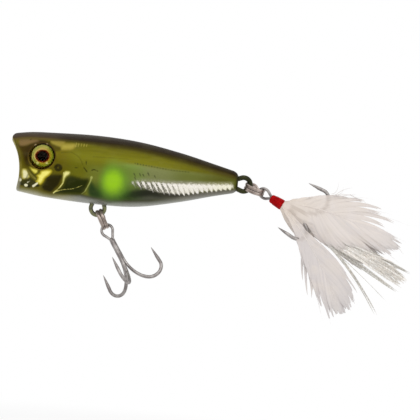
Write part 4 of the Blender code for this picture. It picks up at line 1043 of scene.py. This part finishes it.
def hanger_line(radius):
    """A figure of eight, its corners cut a little so that the bent wire has no kink."""
    half_gap = (HANGER_WIRE + HANGER_GAP) / 2
    outer, inner = eye_arc(radius, NECK, half_gap, 40), eye_arc(INNER_RADIUS, INNER_NECK, half_gap, 30)
    far = np.array((NECK + INNER_NECK, 0, 0))
    points = np.vstack((outer, (NECK, 0, -half_gap), far - inner, (NECK, 0, half_gap)))
    ahead = np.roll(points, -1, axis=0)
    return np.stack((0.75 * points + 0.25 * ahead, 0.25 * points + 0.75 * ahead), axis=1).reshape(-1, 3)


def loop_place(loop, quarters):
    return Matrix.Translation(loop * MM) @ Matrix.Rotation(quarters * QUARTER, 4, "Y")


for node, radius, lacquer, stout, place in (
    ("line_tie", TIE_RADIUS, HANGER, 1.22, Matrix.Identity(4)),
    ("belly_hanger", LOOP_RADIUS, HANGER, 1.22, loop_place(BELLY_LOOP, -1)),
    ("tail_hanger", LOOP_RADIUS, DARK_HANGER, 1.4, loop_place(TAIL_LOOP, 2)),
):
    route = {"points": hanger_line(radius), "closed": True, "facing": (0, 1, 0)}
    mesh = swept([route], HANGER_WIRE * stout, 20, lacquer, place=place)
    as_piece(f"{node}_wire", mesh, lacquer, "lure_body", "hanger_wire", node)

RING_DIAMETER, RING_WIRE, COIL_GAP, RING_TURNS, STEP_FROM, STEP_TO = 6.0, 0.6, 0.42, 1.83, 0.86, 0.98
RING_STOUT, RING_FLATNESS, RING_POINTS, WIRE_END = 1.68, 0.64, 190, (0.55, 0.82, 0.95)
RING_RADIUS = (RING_DIAMETER - RING_WIRE) / 2
hole = LOOP_RADIUS - HANGER_WIRE / 2
sag = hole - math.sqrt(hole**2 - (RING_WIRE + COIL_GAP / 2) ** 2)
RING_DROP = RING_DIAMETER / 2 - RING_WIRE - (HANGER_WIRE / 2 + sag + RING_PLAY)
RING_REACH = RING_DROP + RING_RADIUS


def ring_line():
    turn = np.linspace(0, RING_TURNS, RING_POINTS)
    angle = QUARTER - math.pi * (STEP_FROM + STEP_TO) + TURN * turn
    height = (RING_WIRE + COIL_GAP) * (rise(turn, STEP_FROM, STEP_TO) - 0.5)
    points = np.stack((RING_DROP + RING_RADIUS * np.cos(angle), RING_RADIUS * np.sin(angle), height), axis=1)
    girth = np.ones(RING_POINTS)
    girth[:3] = girth[:-4:-1] = WIRE_END
    return {"points": points, "girth": girth, "facing": (0, 0, 1)}


HOOK_WIRE, HOOK_EYE_RADIUS, HOOK_EYE_DROP = 0.7, 1.65, 0.4
HOOK_LENGTH, BEND_FROM, BEND_RADIUS = 17.6, 9.0, 6.2
LEG_FROM, LEG_RADIUS, POINT_AT, POINT_RADIUS, LEG_POINTS = 14.6, 9.75, 9.6, 9.3, 26
SHANK = (HOOK_WIRE + 0.08) / math.sqrt(3)
BRAZE_WIDTH, BRAZE_POINTS, EYE_STOUT = 1.55, 14, 1.15
SHANK_STOUT, FORGED_STOUT, POINT_LENGTH, POINT_STOUT = 1.28, 0.17, 3.6, 0.045

# Rows of a barb from its root to its tip: along the leg, height, and half width
BARB = ((-0.75, 0.20, 0.05), (-0.35, 0.34, 0.10), (0.0, 0.46, 0.12), (0.4, 0.56, 0.02))
BARB_BACK, BARB_FOOT, BARB_SUNK = 2.9, 0.12, HOOK_WIRE * 0.09


def outwards(azimuth):
    angle = math.radians(azimuth)
    return np.array((0.0, -math.sin(angle), math.cos(angle)))


def shank_axis(roll):
    return np.array((HOOK_EYE_DROP, 0, 0)) + outwards(roll + 90) * SHANK / 2


def hook_profile():
    """One hook from the shank to its point, as (along, out) pairs, with the wire's girth."""
    start, low = np.array((BEND_FROM, SHANK)), np.array((HOOK_LENGTH, BEND_RADIUS))
    pull_down = start + (0.55 * (HOOK_LENGTH - BEND_FROM), 0)
    pull_in = low - (0, 0.5 * (BEND_RADIUS - SHANK))
    t = np.linspace(0, 1, 26, endpoint=False)[:, None]
    bend = (1 - t) ** 3 * start + 3 * (1 - t) ** 2 * t * pull_down + 3 * (1 - t) * t * t * pull_in + t**3 * low
    angle = np.linspace(0, QUARTER, 22)[:, None]
    corner, size = np.array((LEG_FROM, BEND_RADIUS)), np.array((HOOK_LENGTH - LEG_FROM, LEG_RADIUS - BEND_RADIUS))
    heel = corner + size * np.hstack((np.cos(angle), np.sin(angle)))
    end = np.array((POINT_AT, POINT_RADIUS))
    leg = heel[-1] + (end - heel[-1]) * np.linspace(0, 1, LEG_POINTS)[1:, None]
    profile = np.vstack((bend, heel, leg))
    to_point = np.linalg.norm(profile - end, axis=1)
    count = np.arange(len(profile))
    forged = SHANK_STOUT + FORGED_STOUT * rise(count, 4, 20)
    sharpened = np.clip(to_point / POINT_LENGTH, 0, 1) ** 0.65
    girth = forged * np.where(count >= len(bend) + len(heel), sharpened, 1.0)
    return profile, np.maximum(girth, POINT_STOUT)


def hook_line(azimuth, roll):
    profile, girth = hook_profile()
    return shank_axis(roll) + profile[:, :1] * (1, 0, 0) + profile[:, 1:] * outwards(azimuth), girth


def barb_mesh(azimuth, roll, place):
    """The sliver raised from the inside of the leg."""
    profile, _ = hook_profile()
    back = unit(profile[-LEG_POINTS] - profile[-1])
    inward = np.array((-back[1], back[0]))
    inward = -inward if inward[1] > 0 else inward
    foot = profile[-1] + back * BARB_BACK
    corners = []
    for along, height, half in BARB:
        top, low = foot + back * along + inward * height, foot + back * min(along, BARB_FOOT) + inward * BARB_SUNK
        wide = half * 1.6 + 0.04
        corners += [(top, half), (top, -half), (low, -wide), (low, wide)]
    axis, out, aside = shank_axis(roll), outwards(azimuth), outwards(azimuth + 90)
    verts = [place @ (Vector(axis + (p[0], 0, 0) + out * p[1] + aside * s) * MM) for p, s in corners]
    faces = [(0, 1, 2, 3), (15, 14, 13, 12)]
    for a in (0, 4, 8):
        faces += [(a + i, a + 4 + i, a + 4 + (i + 1) % 4, a + (i + 1) % 4) for i in range(4)]
    return plain_mesh("barb", verts, faces)


def treble(name, roll, place, neck):
    """The wire that makes the eye and two hooks, and the third hook brazed to it."""
    first, second, third = roll - 30, roll + 210, roll + 90
    spin = np.array(Matrix.Rotation(math.radians(roll), 3, "X"))
    half_gap = SHANK * math.cos(math.radians(30))
    drop = np.array((HOOK_EYE_DROP, 0, 0))
    eye = drop + eye_arc(HOOK_EYE_RADIUS, neck, half_gap, 44) @ spin.T
    necks = [drop + spin @ np.array((neck, 0, s * half_gap)) for s in (1, -1)]
    (lead, lead_girth), (tail, tail_girth), (last, last_girth) = (hook_line(a, roll) for a in (first, second, third))
    barbs = [barb_mesh(a, roll, place) for a in (first, second, third)]

    def drawn(points, girth, width=HOOK_WIRE, sides=16):
        line = {"points": np.vstack(points), "girth": np.concatenate(girth)}
        return swept([line], width, sides, HOOK, place=place)

    eye_girth = np.full(len(eye) + 2, EYE_STOUT)
    double = drawn((lead[::-1], necks[:1], eye, necks[1:], tail), (lead_girth[::-1], eye_girth, tail_girth))
    axis = shank_axis(roll)
    braze = np.linspace(neck - 0.2, BEND_FROM + 1.4, BRAZE_POINTS)[:, None] * (1, 0, 0) + axis
    count = np.arange(BRAZE_POINTS)
    girth = np.minimum(1, np.minimum(count * 0.35, count[::-1] * 0.16) + 0.4)
    double = joined(double, drawn((braze,), (girth,), BRAZE_WIDTH, 14), *barbs[:2])
    as_piece(f"{name}_eye_and_pair", double, HOOK, f"{name}_hook", "hook_steel", f"{name}_treble_double")
    head = axis + outwards(third) * SHANK + (neck, 0, 0)
    single = joined(drawn((head, head + (0.15, 0, 0), last), ((0.6, 1.0), last_girth)), barbs[2])
    as_piece(f"{name}_brazed_hook", single, HOOK, f"{name}_hook", "hook_steel", f"{name}_treble_single")


def rig(loop, ring_lean, hook_lean, tilt):
    """Where a ring hangs on its hanger, and its hook on the ring."""
    lie = Matrix.Rotation(math.radians(ring_lean), 4, "Y")
    wire = loop + lie.to_3x3() @ Vector((LOOP_RADIUS, 0, 0))
    swung = Matrix.Translation(wire * MM) @ lie @ Matrix.Rotation(math.radians(-tilt), 4, "Z")
    turn = Matrix.Rotation(math.radians(hook_lean - ring_lean), 4, "Y")
    return swung, swung @ Matrix.Translation((RING_REACH * MM, 0, 0)) @ turn


TAIL_ROLL = 39.0
for name, loop, lies, slack, ring_roll, hook_roll, neck in (
    ("belly", BELLY_LOOP, (61.8, 56.9, 12.7), 0.45, 0.0, 12.5, 2.7),
    ("tail", TAIL_LOOP, (17.6, 26.0, 10.9), 0.0, 12.0, TAIL_ROLL, 2.1),
):
    ring_place, hook_place = rig(loop, *lies)
    hook_place = hook_place @ Matrix.Translation((slack * MM, 0, 0))
    ring_place = ring_place @ Matrix.Rotation(math.radians(ring_roll), 4, "X")
    coil = swept([ring_line()], RING_WIRE * RING_STOUT, 18, RING, RING_FLATNESS, ring_place)
    as_piece(f"{name}_ring_coil", coil, RING, f"{name}_ring", "ring_steel", f"{name}_split_ring")
    treble(name, hook_roll, hook_place, neck)
TAIL_HOOK = hook_place
AXIS = shank_axis(TAIL_ROLL)


# Dressing of the tail hook

WHIP_FROM, WHIP_LENGTH, WHIP_FRONT, WHIP_REAR, THREAD = 2.2, 4.2, 1.05, 1.3, 0.26
DRESS_FROM, ROOT_OUT = WHIP_FROM + WHIP_LENGTH + 0.3, 1.15

# Layers of thread: start and end as shares of the whipping, turns, height over the bed, and angle of the first turn
LAYERS = ((0.0, 1.0, 23.0, 0.04, 0.0), (0.25, 0.97, 13.0, 0.15, 1.3))


def whipping():
    """Close turns of red thread over a bed of thread, with a finishing layer of wider turns."""
    lines = []
    for start, end, turns, lift, lead in LAYERS:
        s = np.linspace(0, 1, int(28 * turns))
        along = WHIP_FROM + 0.15 + (WHIP_LENGTH - 0.3) * (start + (end - start) * s)
        swell = WHIP_FRONT + (WHIP_REAR - WHIP_FRONT) * (along - WHIP_FROM) / WHIP_LENGTH
        swell = swell + lift - 0.16 * (1 - rise(s, 0.0, 0.12)) - 0.10 * rise(s, 0.9, 1.0)
        angle = TURN * turns * s + lead
        points = AXIS + np.stack((along, swell * np.sin(angle), swell * np.cos(angle)), axis=1)
        lines.append({"points": points, "store": {"along": s * turns * 0.0075}})
    return swept(lines, THREAD, 7, SILK, place=TAIL_HOOK)


def whip_bed():
    """The thread below, whose girths are radii in millimetres."""
    s = np.linspace(0, 1, 20)
    bore = WHIP_FRONT + (WHIP_REAR - WHIP_FRONT) * s - 0.06
    bore = bore * np.sqrt(np.clip(np.minimum(s, 1 - s) * 14 + 0.25, 0, 1))
    points = AXIS + np.stack((WHIP_FROM + WHIP_LENGTH * s, 0 * s, 0 * s), axis=1)
    return swept([{"points": points, "girth": bore, "store": {"along": s * 0.03}}], 2.0, 28, SILK, place=TAIL_HOOK)


wound = joined(whip_bed(), whipping())
as_piece("thread_whipping", wound, SILK, "tail_hook", "thread", "whipping_core", "whipping_thread")

# Shares of the quill's length at which the half widths of a feather are given
STATIONS = (0.0, 0.1, 0.22, 0.4, 0.55, 0.72, 0.88, 1.0, 1.2)

# Name, degrees round the shank at the root, middle, tip, edge, half widths above and below the quill, barbs a side,
# clumps a side, how far a clump's tips draw together above and below, raggedness, loose hairs, greyness, and the
# degrees that its collar covers
FEATHERS = (
    ("lower_feather", 112, (22.9, -11.5, -4.8), (37.0, -9.0, -16.6), (0.50, 0.50, 0.75),
     (0.4, 0.6, 0.9, 1.5, 3.5, 5.8, 6.3, 5.3, 4.4), (0.3, 0.5, 1.0, 2.6, 3.9, 4.7, 4.7, 3.6, 3.2), 150, 26,
     (0.35, 0.35), 0.05, 4, 0.85, None),
    ("upper_feather", 35, (20.5, -3.8, 7.6), (40.4, -2.6, 6.8), (-0.10, 0.00, 1.00),
     (0.6, 1.4, 2.5, 4.5, 6.0, 6.2, 4.4, 2.4, 2.0), (0.8, 2.4, 5.2, 8.4, 9.0, 5.2, 3.2, 2.6, 2.0), 170, 15,
     (0.8, 0.12), 0.09, 14, 0.35, (14, 168)),
    ("middle_feather", 330, (20.0, 2.2, 3.4), (35.5, 3.2, 1.0), (0.05, 0.10, 0.95),
     (0.5, 1.2, 2.2, 3.6, 4.2, 4.4, 3.8, 2.4, 2.0), (0.5, 1.2, 2.2, 3.6, 4.2, 4.4, 3.8, 2.4, 2.0), 110, 16,
     (0.7, 0.5), 0.10, 6, 0.5, (192, 346)),
    ("rear_feather", 200, (19.0, 0.4, -2.3), (33.5, 1.0, -3.2), (0.20, 0.00, 0.90),
     (0.4, 1.2, 2.2, 3.4, 3.9, 4.0, 3.4, 2.4, 2.0), (0.3, 0.4, 0.5, 0.6, 0.7, 0.7, 0.6, 0.5, 0.4), 90, 16, (0.6, 0.6),
     0.08, 4, 0.5, None),
)

# Wispy hairs that curl off the top of the upper feather, as places along the hook and up from it
WISPS = (
    ((17.0, 10.0), (17.8, 11.5), (17.0, 13.9)), ((18.0, 10.2), (19.3, 11.6), (18.8, 13.5)),
    ((17.9, 9.7), (19.3, 12.6), (21.3, 14.5)), ((19.3, 10.4), (21.3, 12.1), (22.9, 12.8)),
    ((21.5, 12.5), (24.3, 12.6), (25.2, 12.3)), ((21.9, 12.4), (25.0, 12.8), (28.1, 13.0)),
    ((16.5, 7.9), (19.1, 10.4), (21.9, 11.5)),
)

# Barbs that hang loose from the near edge of the lower feather, from a place within its vane
STRAYS = (
    ((19.2, -8.55, -7.0), (21.6, -9.9, -11.4), (23.9, -10.2, -14.7)),
    ((20.8, -9.2, -8.2), (24.1, -10.6, -13.3), (27.4, -10.9, -17.6)),
    ((22.3, -10.0, -9.75), (26.4, -11.3, -14.0), (28.8, -11.4, -17.6)),
)

# Barbs and hairs that part from a feather, and their width and tone
LOOSE = {
    "upper_feather": ([[(x, -2.9, z) for x, z in hair] for hair in WISPS], 0.17, 0.9),
    "lower_feather": (STRAYS, 1.15, 0.8),
}
LOCK_WIDTH, LOCK_FLATNESS, QUILL_WIDTH, BARB_SIDES, BARB_POINTS = 0.8, 0.045, 0.42, 8, 16
TIP_FROM, VANE_END = 0.75, 1.08


def bent(root, middle, tip, t):
    t = np.asarray(t, float)[..., None]
    return root * (1 - t) ** 2 + middle * (2 * t * (1 - t)) + tip * t * t


def bound_at(azimuth):
    """Where a feather or a bundle leaves the whipping."""
    return AXIS + (DRESS_FROM, 0, 0) + outwards(azimuth) * ROOT_OUT


def lock(points, over, girth, tone, reach):
    """A flat barb that lies across the feather's normal."""
    across = unit(np.cross(over, np.gradient(points, axis=0)))
    values = {"along": np.linspace(0, 1, len(points)), "tone": tone, "reach": reach}
    return {"points": points, "girth": girth, "across": across, "store": values}


def pointed(q, start, taper):
    """Girth of a barb: drawn in at the quill, full in the middle and pointed at the tip."""
    return (start + (1 - start) * rise(q, 0.0, 0.3)) * np.clip((1 - q) / taper, 0.03, 1) ** 0.7


def collar(first, last, chance):
    """Short broad barbs that leave the whipping side by side and cover the shank."""
    locks = []
    q = np.linspace(0, 1, 12)
    for share in np.linspace(0, 1, 30):
        azimuth = first + (last - first) * share + chance.normal(0, 1.5)
        out = outwards(azimuth)
        near = -1 if out[1] < 0 else 1
        rise_to = math.radians(30 * math.cos(math.radians(azimuth)) + chance.normal(0, 1.5))
        length = chance.uniform(8.0, 12.0)
        root = AXIS + (DRESS_FROM - 0.35, 0, 0) + out * 1.1
        reach = (DRESS_FROM + length * math.cos(rise_to), near * (0.9 + 0.10 * length), length * math.sin(rise_to))
        end = AXIS + reach
        points = bent(root, (root + end) / 2 + (0, near * 0.6, 0), end, q)
        over = np.broadcast_to((0.0, near * 1.0, 0.0), points.shape)
        locks.append(lock(points, over, 2.1 * pointed(q, 0.4, 0.5), 0.3 + 0.2 * chance.random(), 0.05 + 0.3 * q))
    return locks


def wisps(drawn, width, tone):
    """Hairs or loose barbs that part from a feather, each through three places."""
    q = np.linspace(0, 1, BARB_POINTS)
    locks = []
    for start, middle, end in drawn:
        first, second, third = AXIS + start, AXIS + middle, AXIS + end
        points = bent(first, 2 * second - (first + third) / 2, third, q)
        over = np.broadcast_to((0.0, -1.0, 0.0), points.shape)
        locks.append(lock(points, over, width * pointed(q, 0.9, 0.7), tone, 0.9))
    return locks


def hook_shaded(locks):
    """How closely each point of the barbs lies over the wire of a hook, for the painted shade of the wire showing
    faintly through them.
    """
    points = np.vstack([barb["points"] for barb in locks])
    wires = [hook_line(azimuth, TAIL_ROLL)[0] for azimuth in (TAIL_ROLL - 30, TAIL_ROLL + 90)]
    gaps = [line_distance(wire[::3, ::2], points[:, 0], points[:, 2])[0] for wire in wires]
    counts = np.cumsum([len(barb["points"]) for barb in locks])[:-1]
    for barb, gap in zip(locks, np.split(np.minimum(*gaps), counts)):
        barb["store"]["hook_shade"] = rise(gap, 0.75, 0.2) * rise(AXIS[1] - barb["points"][:, 1], 0.0, 1.0)


def parted(share):
    """How far along the sides of the quill a barb is, and how far into the tip."""
    return min(share / TIP_FROM, 1), max((share - TIP_FROM) / (1 - TIP_FROM), 0)


def feather(azimuth, middle, tip, edge, upper, lower, barbs, clumps, draw, ragged, hairs, grey, covers, loose, seed):
    """A quill with flat zipped barbs that sweep towards the tip and part into clumps at the edge."""
    chance = np.random.default_rng(seed)
    root, middle, tip, edge = bound_at(azimuth), AXIS + middle, AXIS + tip, unit(np.array(edge))

    def frame_at(t):
        ahead = unit(bent(root, middle, tip, t + 0.01) - bent(root, middle, tip, t - 0.01))
        side = unit(edge - ahead * (ahead @ edge)[..., None])
        return bent(root, middle, tip, t), side, np.cross(ahead, side)

    s, q = np.linspace(0, 1, 44), np.linspace(0, 1, BARB_POINTS)
    spine, _, over = frame_at(s)
    values = {"along": 0 * s, "tone": 0.5, "reach": s, "hook_shade": 0.0}
    quill = {"points": spine, "girth": 1.0 * (1 - s) ** 0.8 + 0.12, "across": over, "store": values}
    locks = collar(*covers, chance) if covers else []
    locks += wisps(*loose) if loose else []
    for hand, halves in ((1, upper), (-1, lower)):
        tufts = np.sort((np.arange(clumps) + chance.uniform(0.1, 0.9, clumps)) / clumps)
        stretch = 1 + ragged * chance.normal(0, 1, clumps)
        hang, bend = chance.normal(0, 0.18, clumps), chance.normal(0, 0.25, clumps)
        starts = list((np.arange(barbs) + chance.uniform(0, 1, barbs)) / barbs)
        for n, s0 in enumerate([*starts, *chance.uniform(0.1, 0.95, hairs)]):
            hair = n >= barbs
            k = int(np.argmin(np.abs(tufts - s0)))
            (along, beyond), end = parted(s0), s0 + (tufts[k] - s0) * draw[hand < 0] * chance.uniform(0.75, 1.0)
            onward, tipward = parted(end)
            t0 = 0.02 + 0.50 * along**1.1 + 0.44 * beyond
            t1 = 0.10 + 0.90 * onward + 0.03 * tipward
            longer = stretch[k] * (1 + 0.35 * ragged * chance.normal()) * (chance.uniform(1.05, 1.3) if hair else 1)
            reach = np.interp(t1, STATIONS, halves) * (1 - tipward) * longer
            t = t0 + (min(t0 + (t1 - t0) * longer, VANE_END) - t0) * q
            spot_at, side, over = frame_at(t)
            out = reach * (1 - (1 - q) ** 1.5)
            lift = hang[k] * q**2 * (1.5 if hair else 1) + 0.03 * chance.normal() - 0.010 * out**2
            sway = bend[k] * q**3 * (4 if hair else 1) * ragged * 8
            points = spot_at + side * (hand * (out + sway))[:, None] + over * lift[:, None]
            girth = 0.13 * pointed(q, 0.8, 0.6) if hair else pointed(q, 0.45, 0.42)
            locks.append(lock(points, over, girth, float(np.clip(grey + 0.12 * chance.normal(), 0, 1)), t))
    hook_shaded(locks)
    vane = swept(locks, LOCK_WIDTH, BARB_SIDES, DOWN, LOCK_FLATNESS, TAIL_HOOK)
    return joined(swept([quill], QUILL_WIDTH, BARB_SIDES, DOWN, place=TAIL_HOOK), vane)


for seed, (name, *shape) in enumerate(FEATHERS, 11):
    as_piece(f"{name}_hackle", feather(*shape, LOOSE.get(name), seed), DOWN, "tail_hook", "feather", name)

# Degrees round the shank at the root, middle, tip, strands, how far they spread at the middle and at the tip, and width
STRANDS = (
    (302, (27.2, -2.0, 1.4), (47.6, -1.8, 2.3), 6, (0.5, 0.4, 0.9), (1.6, 0.4, 0.35), 0.65),
    (276, (28.3, -2.7, -0.1), (48.1, -2.4, -0.3), 36, (1.0, 0.4, 3.0), (3.2, 0.4, 1.4), 0.95),
    (240, (26.0, -0.8, -2.6), (47.6, -0.8, -3.8), 4, (0.4, 0.5, 0.4), (1.6, 0.5, 0.3), 0.5),
    (164, (25.0, -1.6, -2.2), (46.0, -1.6, -7.8), 2, (0.3, 0.3, 0.2), (1.4, 0.4, 0.3), 0.28),
    (140, (24.6, -1.6, 0.3), (45.8, -2.6, -12.3), 2, (0.3, 0.3, 0.2), (1.0, 0.4, 0.3), 0.95),
)
STRAND_SIDES, STRAND_FLATNESS, PACKED_FROM = 8, 0.10, 10


def tinsel(azimuth, middle, tip, count, mid_spread, tip_spread, width, seed):
    """Flat strands that leave the whipping together, turn over and fan out."""
    chance = np.random.default_rng(seed)
    s = np.linspace(0, 1, 60)
    lines = []
    for k in range(count):
        off = chance.normal(0, 1.0, (2, 3)) * (mid_spread, tip_spread) * (k > 0)
        off[1, 0] = -abs(off[1, 0])
        points = bent(bound_at(azimuth), AXIS + middle + off[0], AXIS + tip + off[1], s)
        twist = s * chance.uniform(0.2, 0.9) + chance.uniform(-0.4, 0.3)
        flat = facings(points, (0.1, 0.0, 1.0))
        turned_to = np.cross(unit(np.gradient(points, axis=0)), flat)
        across = flat * np.cos(twist)[:, None] + turned_to * np.sin(twist)[:, None]
        girth = (0.7 + 0.3 * np.sin(s * chance.uniform(3, 6))) * np.clip((1 - s) / 0.06, 0.15, 1)
        values = {"packed": float(count >= PACKED_FROM)}
        lines.append({"points": points, "girth": girth, "across": across, "store": values})
    return swept(lines, width, STRAND_SIDES, TINSEL, STRAND_FLATNESS, TAIL_HOOK)


for number, strand in enumerate(STRANDS, 1):
    bundle = tinsel(*strand, 40 + number)
    as_piece(f"tinsel_bundle_{number}", bundle, TINSEL, "tail_hook", "tinsel", f"tinsel_strand_{number}")


# Floor, light and camera

FLOOR_Z, FLOOR_HALF = -0.075, 3.0
LURE_MIDDLE = Vector((0.05, 0, -0.005))
CAMERA_AT, CAMERA_LEAN = (0.05291, -0.994, -0.00811), math.radians(5.446)


def pale_floor():
    """White to the eye and to reflections, seen only from above, with the lure's shadow."""
    white = bpy.data.materials.new("pale_floor")
    white.use_nodes = True
    board = Board(white.node_tree)
    seen = board.ease(board.rays("Camera", "Glossy", "Transmission"), 0.0, 1.0)
    speck = board.grain(board.place(), 60.0, 2.0)
    tone = board.blend(speck, (0.93, 0.93, 0.93, 1.0), (0.95, 0.95, 0.95, 1.0))
    ends = {0: board.place(), 1: (0.053, 0.0, FLOOR_Z)}
    away = board.add("ShaderNodeVectorMath", {"operation": "DISTANCE"}, ends, "Value")
    matt = board.add("ShaderNodeBsdfDiffuse", {}, {"Color": tone})
    glow = board.add("ShaderNodeEmission", {}, {"Color": (1, 1, 1, 1), "Strength": 1.0})
    lit = seen * (0.8 + 0.2 * board.ease(away, 0.07, 0.16))
    surface = board.add("ShaderNodeMixShader", {}, {0: lit, 1: matt, 2: glow})
    below = board.add("ShaderNodeNewGeometry", {}, {}, "Backfacing")
    clear = board.add("ShaderNodeBsdfTransparent", {}, {})
    surface = board.add("ShaderNodeMixShader", {}, {0: below, 1: surface, 2: clear})
    board.add("ShaderNodeOutputMaterial", {}, {"Surface": surface})
    mesh = bpy.data.meshes.new("pale_floor")
    corners = ((-1, -1), (1, -1), (1, 1), (-1, 1))
    mesh.from_pydata([(FLOOR_HALF * x, FLOOR_HALF * y, FLOOR_Z) for x, y in corners], [], [(0, 1, 2, 3)])
    mesh.materials.append(white)
    floor = bpy.data.objects.new("pale_floor", mesh)
    bpy.context.scene.collection.objects.link(floor)


def pale_world():
    """White to the eye, a little darker in front where the lure reflects it, and plain light elsewhere."""
    world = bpy.data.worlds.new("studio")
    bpy.context.scene.world = world
    world.use_nodes = True
    board = Board(world.node_tree)
    way = board.add("ShaderNodeTexCoord", {}, {}, "Generated")
    y, z = (board.add("ShaderNodeSeparateXYZ", {}, {"Vector": way}, out) for out in "YZ")
    front = board.ease(0.0 - y, 0.15, 0.95) * (1.0 - board.ease(z, 0.1, 0.75))
    camera = board.rays("Camera")
    mirrored = board.ease(board.rays("Glossy", "Transmission"), 0.0, 1.0)
    level = camera + (1.0 - camera) * (mirrored * (1.0 - 0.22 * front) + (1.0 - mirrored) * 0.66)
    back = board.add("ShaderNodeBackground", {}, {"Color": (1, 1, 1, 1), "Strength": level})
    board.add("ShaderNodeOutputWorld", {}, {"Surface": back})


def lamps():
    for name, spot_at, size, power in (
        ("key", (-0.10, -0.55, 0.55), 1.1, 2.6),
        ("fill", (0.45, -0.50, 0.25), 0.8, 0.6),
    ):
        lamp = bpy.data.lights.new(name, "AREA")
        lamp.shape, lamp.size, lamp.energy = "DISK", size, power
        light = bpy.data.objects.new(name, lamp)
        light.location = spot_at
        light.rotation_euler = (LURE_MIDDLE - Vector(spot_at)).to_track_quat("-Z", "Y").to_euler()
        bpy.context.scene.collection.objects.link(light)


def side_view():
    lens = bpy.data.cameras.new("camera")
    lens.sensor_width, lens.lens, lens.clip_start, lens.clip_end = 36.0, 300.0, 0.05, 20.0
    camera = bpy.data.objects.new("camera", lens)
    sine, cosine = math.sin(CAMERA_LEAN), math.cos(CAMERA_LEAN)
    turn = Matrix(((cosine, 0, sine), (-sine, 0, cosine), (0, -1, 0))).transposed().to_4x4()
    camera.matrix_world = Matrix.Translation(CAMERA_AT) @ turn
    bpy.context.scene.collection.objects.link(camera)
    bpy.context.scene.camera = camera
    bpy.context.scene.view_settings.view_transform = "Standard"


pale_floor()
pale_world()
lamps()
side_view()
